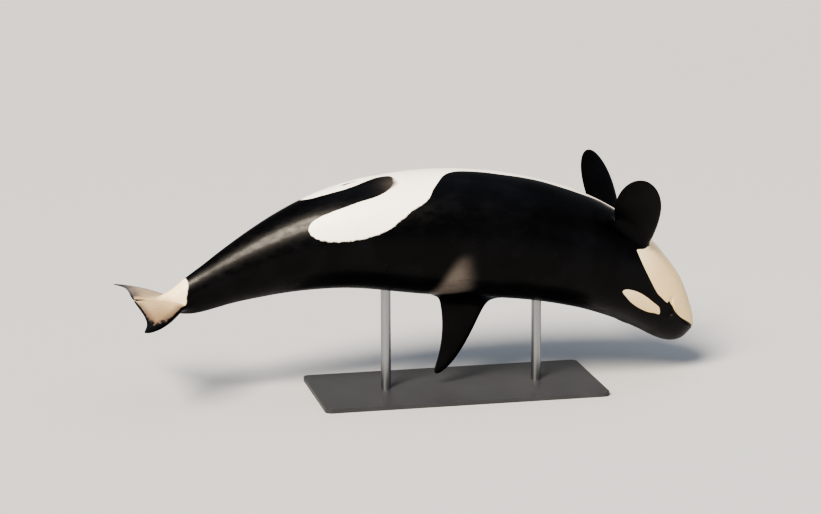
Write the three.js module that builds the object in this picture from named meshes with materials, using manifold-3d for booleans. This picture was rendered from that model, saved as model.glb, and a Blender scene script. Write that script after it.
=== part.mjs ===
// A leaping orca, belly up, held on a display stand. Millimetres and degrees, +Z up.
// The origin is the middle of the stand's underside. The head points to +X and the left flank to -Y.
// A place on the body is (x, t): x runs along the spine from the snout, and t is the angle round the
// body, 0 at the belly line, 90 on the left flank and 180 at the back line.
import * as THREE from "three";
import { mergeVertices } from "three/addons/utils/BufferGeometryUtils.js";
import Module from "manifold-3d";

const { Matrix4, Vector2, Vector3, MathUtils } = THREE;
const wasm = await Module();
wasm.setup();
const { Manifold, Mesh } = wasm;

const GAP = 0.3; // between neighbouring pieces
const WELD = 1e-3; // vertices closer than this are one

// The animal is a grown female
const LENGTH = 5550; // snout to fluke notch, along the spine
const ANCHOR = { x: 2400, at: new Vector3(180, 0, 1435) }; // the spine passes here
const POSE = {
  x: [0, 450, 950, 1500, 2100, 2700, 3300, 3900, 4500, 5050, 5300, LENGTH],
  pitch: [-37, -37, -34, -21.5, -9.5, -3.5, 1, 13.5, 21.6, 20.8, -0.1, -10.4],
  yaw: [9, 9, 7, 4, 1, 0, 0, 0, -0.4, -0.7, 1.7, 4.6],
  roll: [0, 0, 0, 0, 0, 0, 0, 0, 1.1, 2.5, 0.3, 3.7],
};
// Depth from the spine to the belly and to the back, half width, and how full the two halves of the oval are
const BODY = {
  x: [0, 30, 120, 250, 450, 700, 1000, 1400, 1900, 2400, 2900, 3400, 3900, 4400, 4800, 5100, 5330, LENGTH],
  belly: [0, 42, 125, 215, 320, 392, 465, 520, 550, 573, 561, 504, 415, 305, 215, 156, 61, 10],
  back: [0, 143, 231, 278, 309, 353, 420, 495, 550, 575, 560, 500, 420, 315, 225, 158, 84, 10],
  half: [0, 85, 165, 225, 298, 370, 440, 505, 532, 535, 505, 430, 332, 228, 146, 96, 62, 22],
  fullBelly: [2, 2, 2, 2, 2.1, 2.2, 2.2, 2.15, 2.1, 2.05, 2, 1.95, 1.85, 1.75, 1.65, 1.6, 1.6, 1.7],
  fullBack: [2.2, 2.2, 2.2, 2.2, 2.2, 2.2, 2.2, 2.15, 2.1, 2.05, 1.95, 1.85, 1.75, 1.65, 1.6, 1.6, 1.6, 1.7],
};
const BODY_STATIONS = 58;
const BODY_SIDES = 36;
const SNOUT_FACE = 4; // station of the first ring, which a fan closes
const CUTS = { head: 790, chest: 2000, loin: 3500 }; // stations where one length of the body ends

// Lip line: stations from the snout to the corner, with the angle round the body at each
const MOUTH = {
  x: [0, 60, 150, 250, 350, 430, 480],
  t: [90, 94, 95, 94, 91, 86, 80],
  groove: { half: 9, slim: 0.7, steps: 36 }, // slim is its height over its depth
};
const EYE = { x: 393, t: 98, radius: 24, sunk: 12, lid: { long: 42, wide: 29, high: 7 } };
const BALL = { sides: 20, rings: 14 };
const BLOWHOLE = { x: 640, wide: 48, long: 28, deep: 22, crescent: 18 }; // half sizes

// Blade outlines: u runs towards the tail and v outwards, from the point where the fin is set
const DORSAL = {
  x: 2300,
  lead: [[-120, 480], [-20, 800], [90, 1220], [298, 1335]],
  trail: [[400, 480], [262, 800], [268, 1100], [324, 1290]],
  thick: 105,
  thin: 0.82, // share of the thickness lost at the tip
  round: 0.93, // share of the height where the tip starts to round
  fillet: { reach: 60, front: 45, rear: 35, swell: 14 },
};
const FLIPPER = {
  x: 1103, t: 41, inset: 0.9, buried: 120,
  long: 889, wide: 414, most: 0.576, neck: 0.62, thick: 88, thin: 0.8,
  left: { out: 47.6, sweep: 32.9, twist: -0.6 },
  right: { out: 54.6, sweep: 31.1, twist: 8.3 },
  fillet: { reach: 107, swell: 10 },
};
const FLUKE = {
  span: 751,
  lead: [[-448, 0], [-345, 239], [-185, 648], [58, 766]],
  trail: [[17, 0], [44, 219], [-55, 533], [56, 707]],
  droop: 72,
  thick: 84,
  thin: 0.8, // power with which the thickness falls off to the tip
  round: 0.9,
  fillet: { reach: 70, front: 30 },
};
const BLADE = { rows: 15, chord: 11, tipward: 1.7, edge: 1, end: 3, slender: 60, tip: 0.1 };
const FOIL = [2.969, -1.26, -3.516, 2.843, -1.015]; // half thickness over the chord's root and powers

const STAND = {
  long: 2600, wide: 1200, thick: 40, corner: { radius: 60, sides: 8 },
  rod: { radius: 45, sides: 32 }, front: 760, rear: -640,
};

const finish = (color, roughness, metalness) =>
  new THREE.MeshStandardMaterial({ color, roughness, metalness });
const BLACK = finish(0x0c0c10, 0.25, 0);
const WHITE = finish(0xe9e3d6, 0.3, 0);
const EYEBALL = finish(0x1a1210, 0.05, 0);
const PAINT = finish(0x3a3b3d, 0.5, 0.1);
const STEEL = finish(0xb4b6b8, 0.35, 1);

// Sum of vectors, each with its factor
const mix = (...terms) => terms.reduce((sum, [v, k]) => sum.addScaledVector(v, k), new Vector3());
const sine = (a) => Math.sin(MathUtils.degToRad(a));
const cosine = (a) => Math.cos(MathUtils.degToRad(a));

// Smooth curve through the points (xs, ys), with the tangents of a parabola through three neighbours
function through(xs, ys, x) {
  const last = xs.length - 1;
  let i = 0;
  while (i < last - 1 && x > xs[i + 1]) i++;
  const slope = (k) => (ys[k + 1] - ys[k]) / (xs[k + 1] - xs[k]);
  const tangent = (k) => {
    if (k === 0) return slope(0);
    if (k === last) return slope(last - 1);
    const before = xs[k] - xs[k - 1], after = xs[k + 1] - xs[k];
    return (after * slope(k - 1) + before * slope(k)) / (before + after);
  };
  const h = xs[i + 1] - xs[i], s = MathUtils.clamp((x - xs[i]) / h, 0, 1), r = 1 - s;
  return (1 + 2 * s) * r * r * ys[i] + s * r * r * h * tangent(i)
    + s * s * (3 - 2 * s) * ys[i + 1] - s * s * r * h * tangent(i + 1);
}

// Directions of the body at a station: forward, left flank and belly
function axesAt(x) {
  const [pitch, yaw, roll] = [POSE.pitch, POSE.yaw, POSE.roll].map((values) => through(POSE.x, values, x));
  const forward = new Vector3(cosine(pitch) * cosine(yaw), cosine(pitch) * sine(yaw), sine(pitch));
  const up = new Vector3(-sine(pitch) * cosine(yaw), -sine(pitch) * sine(yaw), cosine(pitch));
  const side = forward.clone().cross(up);
  return {
    forward,
    left: mix([side, cosine(roll)], [up, -sine(roll)]),
    belly: mix([up, cosine(roll)], [side, sine(roll)]),
  };
}

// The spine, walked back from the snout in small steps and set on its anchor
const SPINE_STEPS = 1110;
const SPINE_STEP = LENGTH / SPINE_STEPS;
const SPINE = (() => {
  const points = [new Vector3()];
  for (let i = 0; i < SPINE_STEPS; i++) {
    const half = -SPINE_STEP / 2;
    const before = axesAt(i * SPINE_STEP).forward, after = axesAt((i + 1) * SPINE_STEP).forward;
    points.push(mix([points[i], 1], [before, half], [after, half]));
  }
  const k = ANCHOR.x / SPINE_STEP, i = Math.floor(k);
  const here = points[i].clone().lerp(points[i + 1], k - i);
  return points.map((p) => mix([p, 1], [here, -1], [ANCHOR.at, 1]));
})();

function frameAt(x) {
  const k = MathUtils.clamp(x / SPINE_STEP, 0, SPINE_STEPS - 1e-6), i = Math.floor(k);
  return { at: SPINE[i].clone().lerp(SPINE[i + 1], k - i), ...axesAt(x) };
}

// Point of the body's oval at (x, t), as its distances from the spine to the left and to the belly
const BODY_ROOTS = BODY.x.map(Math.sqrt); // the snout is round, so its curves run along the root of x
function ovalAt(x, t, grow) {
  const curves = [BODY.belly, BODY.back, BODY.half, BODY.fullBelly, BODY.fullBack];
  const [belly, back, half, fullBelly, fullBack] = curves.map((c) => through(BODY_ROOTS, c, Math.sqrt(x)));
  const c = cosine(t), s = sine(t), power = 2 / (c > 0 ? fullBelly : fullBack);
  return {
    left: (half + grow) * Math.sign(s) * Math.abs(s) ** power,
    belly: ((c > 0 ? belly : back) + grow) * Math.sign(c) * Math.abs(c) ** power,
  };
}

function skinAt(x, t, grow = 0) {
  const f = frameAt(x), oval = ovalAt(x, t, grow);
  return mix([f.at, 1], [f.left, oval.left], [f.belly, oval.belly]);
}

// Outward direction of the skin at (x, t), from its slopes over a short way
const NEARBY = { x: 5, t: 1 };
function outwardAt(x, t) {
  const along = skinAt(x + NEARBY.x, t).sub(skinAt(x - NEARBY.x, t));
  const round = skinAt(x, t + NEARBY.t).sub(skinAt(x, t - NEARBY.t));
  const normal = along.cross(round).normalize();
  return normal.dot(skinAt(x, t).sub(frameAt(x).at)) > 0 ? normal : normal.negate();
}

// Closed geometry through rings of equal length, with a fan on the first ring and on the last
function loft(rings) {
  const n = rings[0].length, points = rings.flat(), faces = [];
  for (let i = 0; i + 1 < rings.length; i++)
    for (let j = 0; j < n; j++) {
      const a = i * n + j, b = i * n + ((j + 1) % n), c = a + n, d = b + n;
      // the two halves of a ring are split the mirrored way, so that both faces of a blade match
      if (j < n / 2) faces.push(a, b, d, a, d, c);
      else faces.push(a, b, c, b, d, c);
    }
  const cap = (start, turn) => {
    const centre = points.push(mix(...points.slice(start, start + n).map((p) => [p, 1 / n]))) - 1;
    for (let j = 0; j < n; j++) {
      const edge = [start + j, start + ((j + 1) % n)];
      faces.push(centre, ...(turn ? edge.reverse() : edge));
    }
  };
  cap(0, true);
  cap((rings.length - 1) * n, false);
  return new THREE.BufferGeometry().setFromPoints(points).setIndex(faces);
}

const volumeOf = (geometry) => {
  const { index, attributes: { position } } = geometry;
  const corner = [new Vector3(), new Vector3(), new Vector3()];
  let volume = 0;
  for (let i = 0; i < index.count; i += 3) {
    corner.forEach((v, k) => v.fromBufferAttribute(position, index.getX(i + k)));
    volume += corner[0].dot(corner[1].cross(corner[2])) / 6;
  }
  return volume;
};

// A closed geometry as a solid that can be cut and joined, facing out
function solidOf(geometry, place = new Matrix4()) {
  const bare = geometry.clone().applyMatrix4(place);
  bare.deleteAttribute("normal");
  bare.deleteAttribute("uv");
  const closed = mergeVertices(bare, WELD), triVerts = new Uint32Array(closed.index.array);
  if (volumeOf(closed) < 0) triVerts.reverse();
  return new Manifold(new Mesh({ numProp: 3, vertProperties: closed.attributes.position.array, triVerts }));
}

const largest = (solid) => solid.decompose().reduce((a, b) => (b.volume() > a.volume() ? b : a));

// The part of a solid between two stations; null leaves that end as it is
function between(from, to, solid) {
  const trim = (s, x, sign) => {
    const { at, forward } = frameAt(x), normal = forward.multiplyScalar(sign);
    return s.trimByPlane(normal.toArray(), normal.dot(at) + GAP / 2);
  };
  let cut = solid;
  if (to !== null) cut = trim(cut, to, 1);
  if (from !== null) cut = trim(cut, from, -1);
  return cut;
}

function body(grow = 0) {
  const first = Math.sqrt(SNOUT_FACE), rings = [];
  for (let i = 0; i <= BODY_STATIONS; i++) {
    const x = (first + (Math.sqrt(LENGTH) - first) * (i / BODY_STATIONS)) ** 2, ring = [];
    for (let j = 0; j < BODY_SIDES; j++) ring.push(skinAt(x, (j * 360) / BODY_SIDES, grow));
    rings.push(ring);
  }
  return solidOf(loft(rings));
}

// Half thickness of a fin at share c of its chord, 1 at its thickest
const foil = (c) => Math.max(0, FOIL.reduce((sum, k, power) => sum + k * c ** Math.max(power, 0.5), 0));

// Point at share f of a cubic curve with four control points
function curveAt(points, f) {
  const weights = [(1 - f) ** 3, 3 * (1 - f) ** 2 * f, 3 * (1 - f) * f ** 2, f ** 3];
  return weights.reduce((p, w, i) => p.addScaledVector(new Vector2(...points[i]), w), new Vector2());
}

// Draws the edges of a fin together beyond share start of its height, so that its tip is round
function roundTip(s, start, front, rear) {
  const beyond = Math.max(s - start, 0) / (1 - start), middle = front.clone().lerp(rear, 0.5);
  const width = Math.sqrt(Math.max(1 - beyond ** 2, BLADE.tip ** 2));
  return { front: middle.clone().lerp(front, width), rear: middle.clone().lerp(rear, width) };
}

// A blade from its edges: edges(f) gives front, rear and half thickness at share f of its height, and
// place(u, v, n) puts a point of it in space
function blade(edges, place) {
  const { rows, chord, tipward, edge } = BLADE, rings = [];
  for (let i = 0; i <= rows; i++) {
    const { front, rear, thick } = edges(1 - (1 - i / rows) ** tipward), ring = [];
    for (let j = 0; j < 2 * chord; j++) {
      const c = (1 - Math.cos((j * Math.PI) / chord)) / 2, p = front.clone().lerp(rear, c);
      const side = j % chord === 0 ? 0 : Math.sign(chord - j);
      ring.push(place(p.x, p.y, side * Math.max(foil(c) * thick, edge)));
    }
    rings.push(ring);
  }
  return solidOf(loft(rings));
}

function dorsalFin() {
  const { x, lead, trail, thick, thin, round, fillet } = DORSAL;
  const f = frameAt(x), root = ovalAt(x, 180, 0).belly;
  const edges = (s) => {
    const front = curveAt(lead, s), rear = curveAt(trail, s);
    const near = Math.min(Math.exp((-root - front.y) / fillet.reach), Math.E);
    front.x -= fillet.front * near;
    rear.x += fillet.rear * near;
    return { ...roundTip(s, round, front, rear), thick: (thick / 2) * (1 - thin * s) + fillet.swell * near };
  };
  return blade(edges, (u, v, n) => mix([f.at, 1], [f.forward, -u], [f.belly, -v], [f.left, n]));
}

// side is 1 for the left flipper and -1 for the right
function flipper(side) {
  const F = FLIPPER, hold = side > 0 ? F.left : F.right, f = frameAt(F.x), oval = ovalAt(F.x, F.t, 0);
  const flank = f.left.clone().multiplyScalar(side);
  const root = mix([f.at, 1], [flank, F.inset * oval.left], [f.belly, F.inset * oval.belly]);
  const outward = mix([flank, cosine(hold.out)], [f.belly, sine(hold.out)]);
  const face = mix([flank, -sine(hold.out)], [f.belly, cosine(hold.out)]);
  const along = mix([outward, cosine(hold.sweep)], [f.forward, -sine(hold.sweep)]);
  const back = mix([f.forward, -cosine(hold.sweep)], [outward, -sine(hold.sweep)]);
  const chord = mix([back, cosine(hold.twist)], [face, sine(hold.twist)]);
  const normal = along.clone().cross(chord);
  const width = (s) => (s < F.most
    ? F.neck + (1 - F.neck) * Math.sin((Math.PI / 2) * (s / F.most))
    : Math.sqrt(Math.max(1 - ((s - F.most) / (1 - F.most)) ** 2, 0)));
  const edges = (s) => {
    const w = Math.max((F.wide / 2) * width(s), 2 * BLADE.end), v = F.long * s - F.buried;
    const swell = F.fillet.swell * Math.exp((-F.long * s) / F.fillet.reach);
    const thick = (F.thick / 2) * (1 - F.thin * s) * Math.min(1, w / BLADE.slender) + swell;
    return { front: new Vector2(-w, v), rear: new Vector2(w, v), thick };
  };
  return blade(edges, (u, v, n) => mix([root, 1], [chord, u], [along, v], [normal, n]));
}

// side is 1 for the left fluke and -1 for the right
function fluke(side) {
  const { span, lead, trail, droop, thick, thin, round, fillet } = FLUKE, f = frameAt(LENGTH);
  const flank = f.left.clone().multiplyScalar(side);
  const edges = (s) => {
    const front = curveAt(lead, s), rear = curveAt(trail, s);
    front.x -= fillet.front * Math.exp(-front.y / fillet.reach);
    return { ...roundTip(s, round, front, rear), thick: (thick / 2) * (1 - s) ** thin + BLADE.end };
  };
  const place = (u, v, n) => mix(
    [f.at, 1], [f.forward, -u], [flank, v + GAP / 2], [f.belly, n - droop * (v / span) ** 2]);
  return blade(edges, place);
}

// Thin knife along the lip line to its corner, and on from there down behind the jaw
function mouthKnife() {
  const f = frameAt(MOUTH.x[3]), beyond = 60, behind = { back: 150, down: 700 }, width = 1400;
  const line = MOUTH.x.map((x, i) => {
    const g = frameAt(x), p = mix([g.at, 1], [g.belly, ovalAt(x, MOUTH.t[i], 0).belly], [f.at, -1]);
    return new Vector2(p.dot(f.forward), p.dot(f.belly));
  });
  line.unshift(new Vector2(line[0].x + beyond, line[0].y));
  line.push(new Vector2(line.at(-1).x - behind.back, line.at(-1).y + behind.down));
  const edge = (sign) => line.map((p, i) => {
    const run = line[Math.min(i + 1, line.length - 1)].clone().sub(line[Math.max(i - 1, 0)]).normalize();
    return new Vector2(p.x - run.y * sign * (GAP / 2), p.y + run.x * sign * (GAP / 2));
  });
  const strip = new THREE.Shape([...edge(1), ...edge(-1).reverse()]);
  const blank = new THREE.ExtrudeGeometry(strip, { depth: width, bevelEnabled: false });
  const across = f.forward.clone().cross(f.belly), start = mix([f.at, 1], [across, -width / 2]);
  return solidOf(blank, new Matrix4().makeBasis(f.forward, f.belly, across).setPosition(start));
}

// Groove between the lips: a diamond section carried round the snout from corner to corner, pointed at
// the spine a little further back
const LIP_DEPTH = 120;
function lipGroove() {
  const { half, slim, steps } = MOUTH.groove, end = MOUTH.x.at(-1), rings = [];
  for (let i = -steps; i <= steps; i++) {
    const x = end * (i / steps) ** 2 + 1, t = through(MOUTH.x, MOUTH.t, x) * (i < 0 ? -1 : 1);
    const at = skinAt(x, t), up = frameAt(x).belly;
    const out = at.clone().sub(frameAt(x + LIP_DEPTH).at).normalize();
    const corners = [[out, half], [up, slim * half], [out, -half], [up, -slim * half]];
    rings.push(corners.map((corner) => mix([at, 1], corner)));
  }
  return solidOf(loft(rings));
}

const ballOf = (radius) => new THREE.SphereGeometry(radius, BALL.sides, BALL.rings);

// An ellipsoid set in the skin at (x, t), with half sizes along the body, across it and out of the skin
function bead(x, t, along, across, out) {
  const normal = outwardAt(x, t), side = normal.clone().cross(frameAt(x).forward).normalize();
  const place = new Matrix4().makeBasis(side.clone().cross(normal), side, normal).setPosition(skinAt(x, t));
  return solidOf(ballOf(1).scale(along, across, out), place);
}

const eyeCentre = (side) => mix(
  [skinAt(EYE.x, side * EYE.t), 1], [outwardAt(EYE.x, side * EYE.t), -EYE.sunk]);

function lids(side) {
  const { long, wide, high } = EYE.lid;
  return bead(EYE.x, side * EYE.t, long, wide, high);
}

function eyeSocket(side) {
  const { x, y, z } = eyeCentre(side);
  return solidOf(ballOf(EYE.radius + GAP), new Matrix4().makeTranslation(x, y, z));
}

// Crescent with its hollow side towards the snout
function blowhole() {
  const { x, wide, long, deep, crescent } = BLOWHOLE;
  return bead(x, 180, long, wide, deep).subtract(bead(x - crescent, 180, long, wide, 2 * deep));
}

// Skull and lower jaw, parted along the mouth
function headPieces(whole) {
  const skull = Manifold.union([between(null, CUTS.head, whole), lids(1), lids(-1)]);
  const cuts = Manifold.union([lipGroove(), mouthKnife(), blowhole(), eyeSocket(1), eyeSocket(-1)]);
  return skull.subtract(cuts).decompose().sort((a, b) => b.volume() - a.volume());
}

// Point of the back line over x of the base, its station found by steps of what is still missing
const NEAR_ENOUGH = 0.001;
function backOver(x) {
  let station = ANCHOR.x, missing = Infinity;
  while (Math.abs(missing) > NEAR_ENOUGH) {
    missing = frameAt(station).at.x - x;
    station += missing;
  }
  return skinAt(station, 180);
}

// Rod from the base up to the back, its top cut to the skin
function standRod(x, grown) {
  const { radius, sides } = STAND.rod, { y, z } = backOver(x);
  const low = STAND.thick + GAP, high = z + 2 * radius, long = high - low;
  const bar = new THREE.CylinderGeometry(radius, radius, long, sides).rotateX(Math.PI / 2);
  return largest(solidOf(bar, new Matrix4().makeTranslation(x, y, low + long / 2)).subtract(grown));
}

function standBase() {
  const { long, wide, thick, corner } = STAND;
  const w = long / 2 - corner.radius, d = wide / 2 - corner.radius;
  const outline = new THREE.Shape();
  [[w, d], [-w, d], [-w, -d], [w, -d]].forEach(([x, y], quarter) => {
    const start = (quarter * Math.PI) / 2;
    outline.absarc(x, y, corner.radius, start, start + Math.PI / 2);
  });
  const shape = { depth: thick, bevelEnabled: false, curveSegments: corner.sides };
  return new THREE.ExtrudeGeometry(outline, shape);
}

// A named mesh from a solid, with its own origin at pivot
function piece(name, solid, material, pivot) {
  const { numProp, numVert, vertProperties, triVerts } = solid.getMesh();
  const pointAt = (i) => new Vector3().fromArray(vertProperties, i * numProp).sub(pivot);
  const points = Array.from({ length: numVert }, (_, i) => pointAt(i));
  const geometry = new THREE.BufferGeometry().setFromPoints(points).setIndex([...triVerts]);
  return named(name, geometry, material, pivot);
}

function named(name, geometry, material, position) {
  geometry.computeVertexNormals();
  const mesh = new THREE.Mesh(geometry, material);
  mesh.name = name;
  mesh.position.copy(position);
  return mesh;
}

function orca(whole, grown) {
  const head = new THREE.Group(), trunk = new THREE.Group(), fins = new THREE.Group();
  const [skull, jaw] = headPieces(whole), neck = frameAt(CUTS.head).at, tail = frameAt(LENGTH).at;
  head.add(
    piece("head", skull, BLACK, neck),
    piece("lower_jaw", jaw, WHITE, neck),
    named("eye_left", ballOf(EYE.radius), EYEBALL, eyeCentre(1)),
    named("eye_right", ballOf(EYE.radius), EYEBALL, eyeCentre(-1)),
  );
  trunk.add(
    piece("chest", between(CUTS.head, CUTS.chest, whole), BLACK, neck),
    piece("abdomen", between(CUTS.chest, CUTS.loin, whole), BLACK, frameAt(CUTS.chest).at),
    piece("tail_stock", between(CUTS.loin, null, whole), BLACK, frameAt(CUTS.loin).at),
  );
  const rooted = (blank) => largest(blank.subtract(grown));
  fins.add(
    piece("dorsal_fin", rooted(dorsalFin()), BLACK, frameAt(DORSAL.x).at),
    piece("flipper_left", rooted(flipper(1)), BLACK, frameAt(FLIPPER.x).at),
    piece("flipper_right", rooted(flipper(-1)), BLACK, frameAt(FLIPPER.x).at),
    piece("fluke_left", rooted(fluke(1)), BLACK, tail),
    piece("fluke_right", rooted(fluke(-1)), BLACK, tail),
  );
  return new THREE.Group().add(head, trunk, fins);
}

function stand(grown) {
  const foot = (x) => new Vector3(x, 0, STAND.thick);
  return new THREE.Group().add(
    named("stand_base", standBase(), PAINT, new Vector3()),
    piece("stand_rod_front", standRod(STAND.front, grown), STEEL, foot(STAND.front)),
    piece("stand_rod_rear", standRod(STAND.rear, grown), STEEL, foot(STAND.rear)),
  );
}

const grown = body(GAP);
const group = new THREE.Group().add(orca(body(), grown), stand(grown));

export default group;
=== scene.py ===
"""Orca in a leap, belly up, on a display stand: the dressed model. Metres, +Z up, as in the solids.

A place on the hide is (x, t): x runs along the spine from the snout, and t is the angle in degrees
round the body, 0 on the belly line, 90 on the left flank and 180 on the back line.
"""

import logging
import math
from collections.abc import Callable
from dataclasses import dataclass, field
from enum import Enum

import bmesh
import bpy
import numpy as np
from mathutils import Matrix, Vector


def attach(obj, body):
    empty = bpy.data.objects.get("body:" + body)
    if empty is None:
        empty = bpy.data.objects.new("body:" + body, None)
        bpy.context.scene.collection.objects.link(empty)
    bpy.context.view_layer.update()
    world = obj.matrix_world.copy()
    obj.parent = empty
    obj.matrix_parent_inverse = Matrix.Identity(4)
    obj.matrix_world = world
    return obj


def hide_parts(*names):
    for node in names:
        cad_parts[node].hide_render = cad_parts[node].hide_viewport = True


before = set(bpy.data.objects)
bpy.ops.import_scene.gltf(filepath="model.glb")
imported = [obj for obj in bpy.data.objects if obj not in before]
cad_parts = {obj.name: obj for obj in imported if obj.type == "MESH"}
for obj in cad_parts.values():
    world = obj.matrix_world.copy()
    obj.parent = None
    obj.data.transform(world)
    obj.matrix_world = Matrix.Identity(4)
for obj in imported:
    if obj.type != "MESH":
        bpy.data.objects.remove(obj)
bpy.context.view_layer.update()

log = logging.getLogger("orca")
Array = np.ndarray
PHOTO = (821, 514)  # size of the image
LENGTH = 5.55  # snout to fluke notch, along the spine
NEAREST = 0.001  # no station nearer to the snout is looked up for angles and distances
FLAT = 100  # degrees of t to a metre of the flat grid that the hide starts as
POLE = 1.0  # the poles of that grid lie this far beyond its two ends
FLANK = 90.0  # angle that the poles are given
CODE = 10.0  # added to u for each fin's number, so that the joined hide knows its parts
TINY = 1e-12  # what is smaller counts as nothing


# Small mathematics on whole arrays

def through(xs: tuple, ys: tuple, x: Array) -> Array:
    """Follow the smooth curve through given points.

    Args:
        xs: Rising abscissas.
        ys: Values at them.
        x: Where the curve is wanted.

    Returns:
        Value at each x, a cubic between neighbours with the tangents of a parabola through three.
    """
    xs, ys, x = (np.asarray(v, float) for v in (xs, ys, x))
    step = np.diff(xs)
    slope = np.diff(ys) / step
    tangent = np.concatenate([
        slope[:1], (step[1:] * slope[:-1] + step[:-1] * slope[1:]) / (step[:-1] + step[1:]), slope[-1:]])
    i = np.clip(np.searchsorted(xs, x, side="right") - 1, 0, len(xs) - 2)
    s = np.clip((x - xs[i]) / step[i], 0, 1)
    r = 1 - s
    return ((1 + 2 * s) * r * r * ys[i] + s * r * r * step[i] * tangent[i]
            + s * s * (3 - 2 * s) * ys[i + 1] - s * s * r * step[i] * tangent[i + 1])


def ease(x: Array) -> Array:
    """Rise smoothly from 0 to 1.

    Args:
        x: Share of the way, limited to 0 to 1.

    Returns:
        The eased share.
    """
    s = np.clip(x, 0, 1)
    return s * s * (3 - 2 * s)


def rise(x: Array, ramp: tuple) -> Array:
    """Rise smoothly from 0 to 1 along a ramp.

    Args:
        x: Where the share is wanted.
        ramp: Where the rise starts and how long it is.

    Returns:
        Shares.
    """
    return ease((x - ramp[0]) / ramp[1])


def bell(x: Array, width: float) -> Array:
    """Give a smooth bump that is 1 at 0.

    Args:
        x: Distance from its middle.
        width: Distance at which it has fallen to 1/e.

    Returns:
        Height of the bump.
    """
    return np.exp(-(x / width) ** 2)


def unit(v: Array) -> Array:
    """Scale vectors to length 1.

    Args:
        v: Vectors in the last axis.

    Returns:
        The unit vectors.
    """
    return v / np.maximum(np.linalg.norm(v, axis=-1, keepdims=True), TINY)


def graded(start: float, end: float, at: tuple, step: tuple, places: int = 20001) -> Array:
    """Lay stations whose spacing changes smoothly.

    Args:
        start: First station.
        end: Last station.
        at: Places where the spacing is given.
        step: Spacing there.
        places: How many places the stations are chosen from.

    Returns:
        The stations.
    """
    fine = np.linspace(start, end, places)
    count = np.concatenate([[0], np.cumsum(np.diff(fine) / np.interp(fine[1:], at, step))])
    return np.interp(np.linspace(0, count[-1], int(round(count[-1])) + 1), count, fine)


# The body's form, with the same curves as the solids

@dataclass(frozen=True)
class Pose:
    """How the spine turns along its length, in degrees."""

    x: tuple = (0, 0.45, 0.95, 1.5, 2.1, 2.7, 3.3, 3.9, 4.5, 5.05, 5.3, LENGTH)
    pitch: tuple = (-37, -37, -34, -21.5, -9.5, -3.5, 1, 13.5, 21.6, 20.8, -0.1, -10.4)
    yaw: tuple = (9, 9, 7, 4, 1, 0, 0, 0, -0.4, -0.7, 1.7, 4.6)
    roll: tuple = (0, 0, 0, 0, 0, 0, 0, 0, 1.1, 2.5, 0.3, 3.7)
    anchor: float = 2.4
    anchor_at: tuple = (0.18, 0.0, 1.435)


@dataclass(frozen=True)
class Stations:
    """Depth to the belly and back, half width, and how full the two halves of the oval are."""

    x: tuple = (0, 0.03, 0.12, 0.25, 0.45, 0.7, 1, 1.4, 1.9, 2.4, 2.9, 3.4, 3.9, 4.4, 4.8, 5.1, 5.33, LENGTH)
    belly: tuple = (0, 0.042, 0.125, 0.215, 0.32, 0.392, 0.465, 0.52, 0.55, 0.573, 0.561, 0.504, 0.415,
                    0.305, 0.215, 0.156, 0.061, 0.006)
    back: tuple = (0, 0.143, 0.231, 0.278, 0.309, 0.353, 0.42, 0.495, 0.55, 0.575, 0.56, 0.5, 0.42,
                   0.315, 0.225, 0.158, 0.084, 0.006)
    half: tuple = (0, 0.085, 0.165, 0.225, 0.298, 0.37, 0.44, 0.505, 0.532, 0.535, 0.505, 0.43, 0.332,
                   0.228, 0.146, 0.096, 0.062, 0.022)
    full_belly: tuple = (2, 2, 2, 2, 2.1, 2.2, 2.2, 2.15, 2.1, 2.05, 2, 1.95, 1.85, 1.75, 1.65, 1.6, 1.6, 1.7)
    full_back: tuple = (2.2, 2.2, 2.2, 2.2, 2.2, 2.2, 2.2, 2.15, 2.1, 2.05, 1.95, 1.85, 1.75, 1.65, 1.6,
                        1.6, 1.6, 1.7)


@dataclass(frozen=True)
class TrunkTables:
    """How finely the spine, the normals and the arcs are worked out."""

    spine: int = 2221  # places along the spine
    probe: tuple = (0.002, 0.5)  # metres and degrees to each side of a point, for its normal
    arc_rows: int = 400
    arc_knots: int = 61
    inside: float = 1.001  # keeps a lookup inside the last cell of a table


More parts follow.
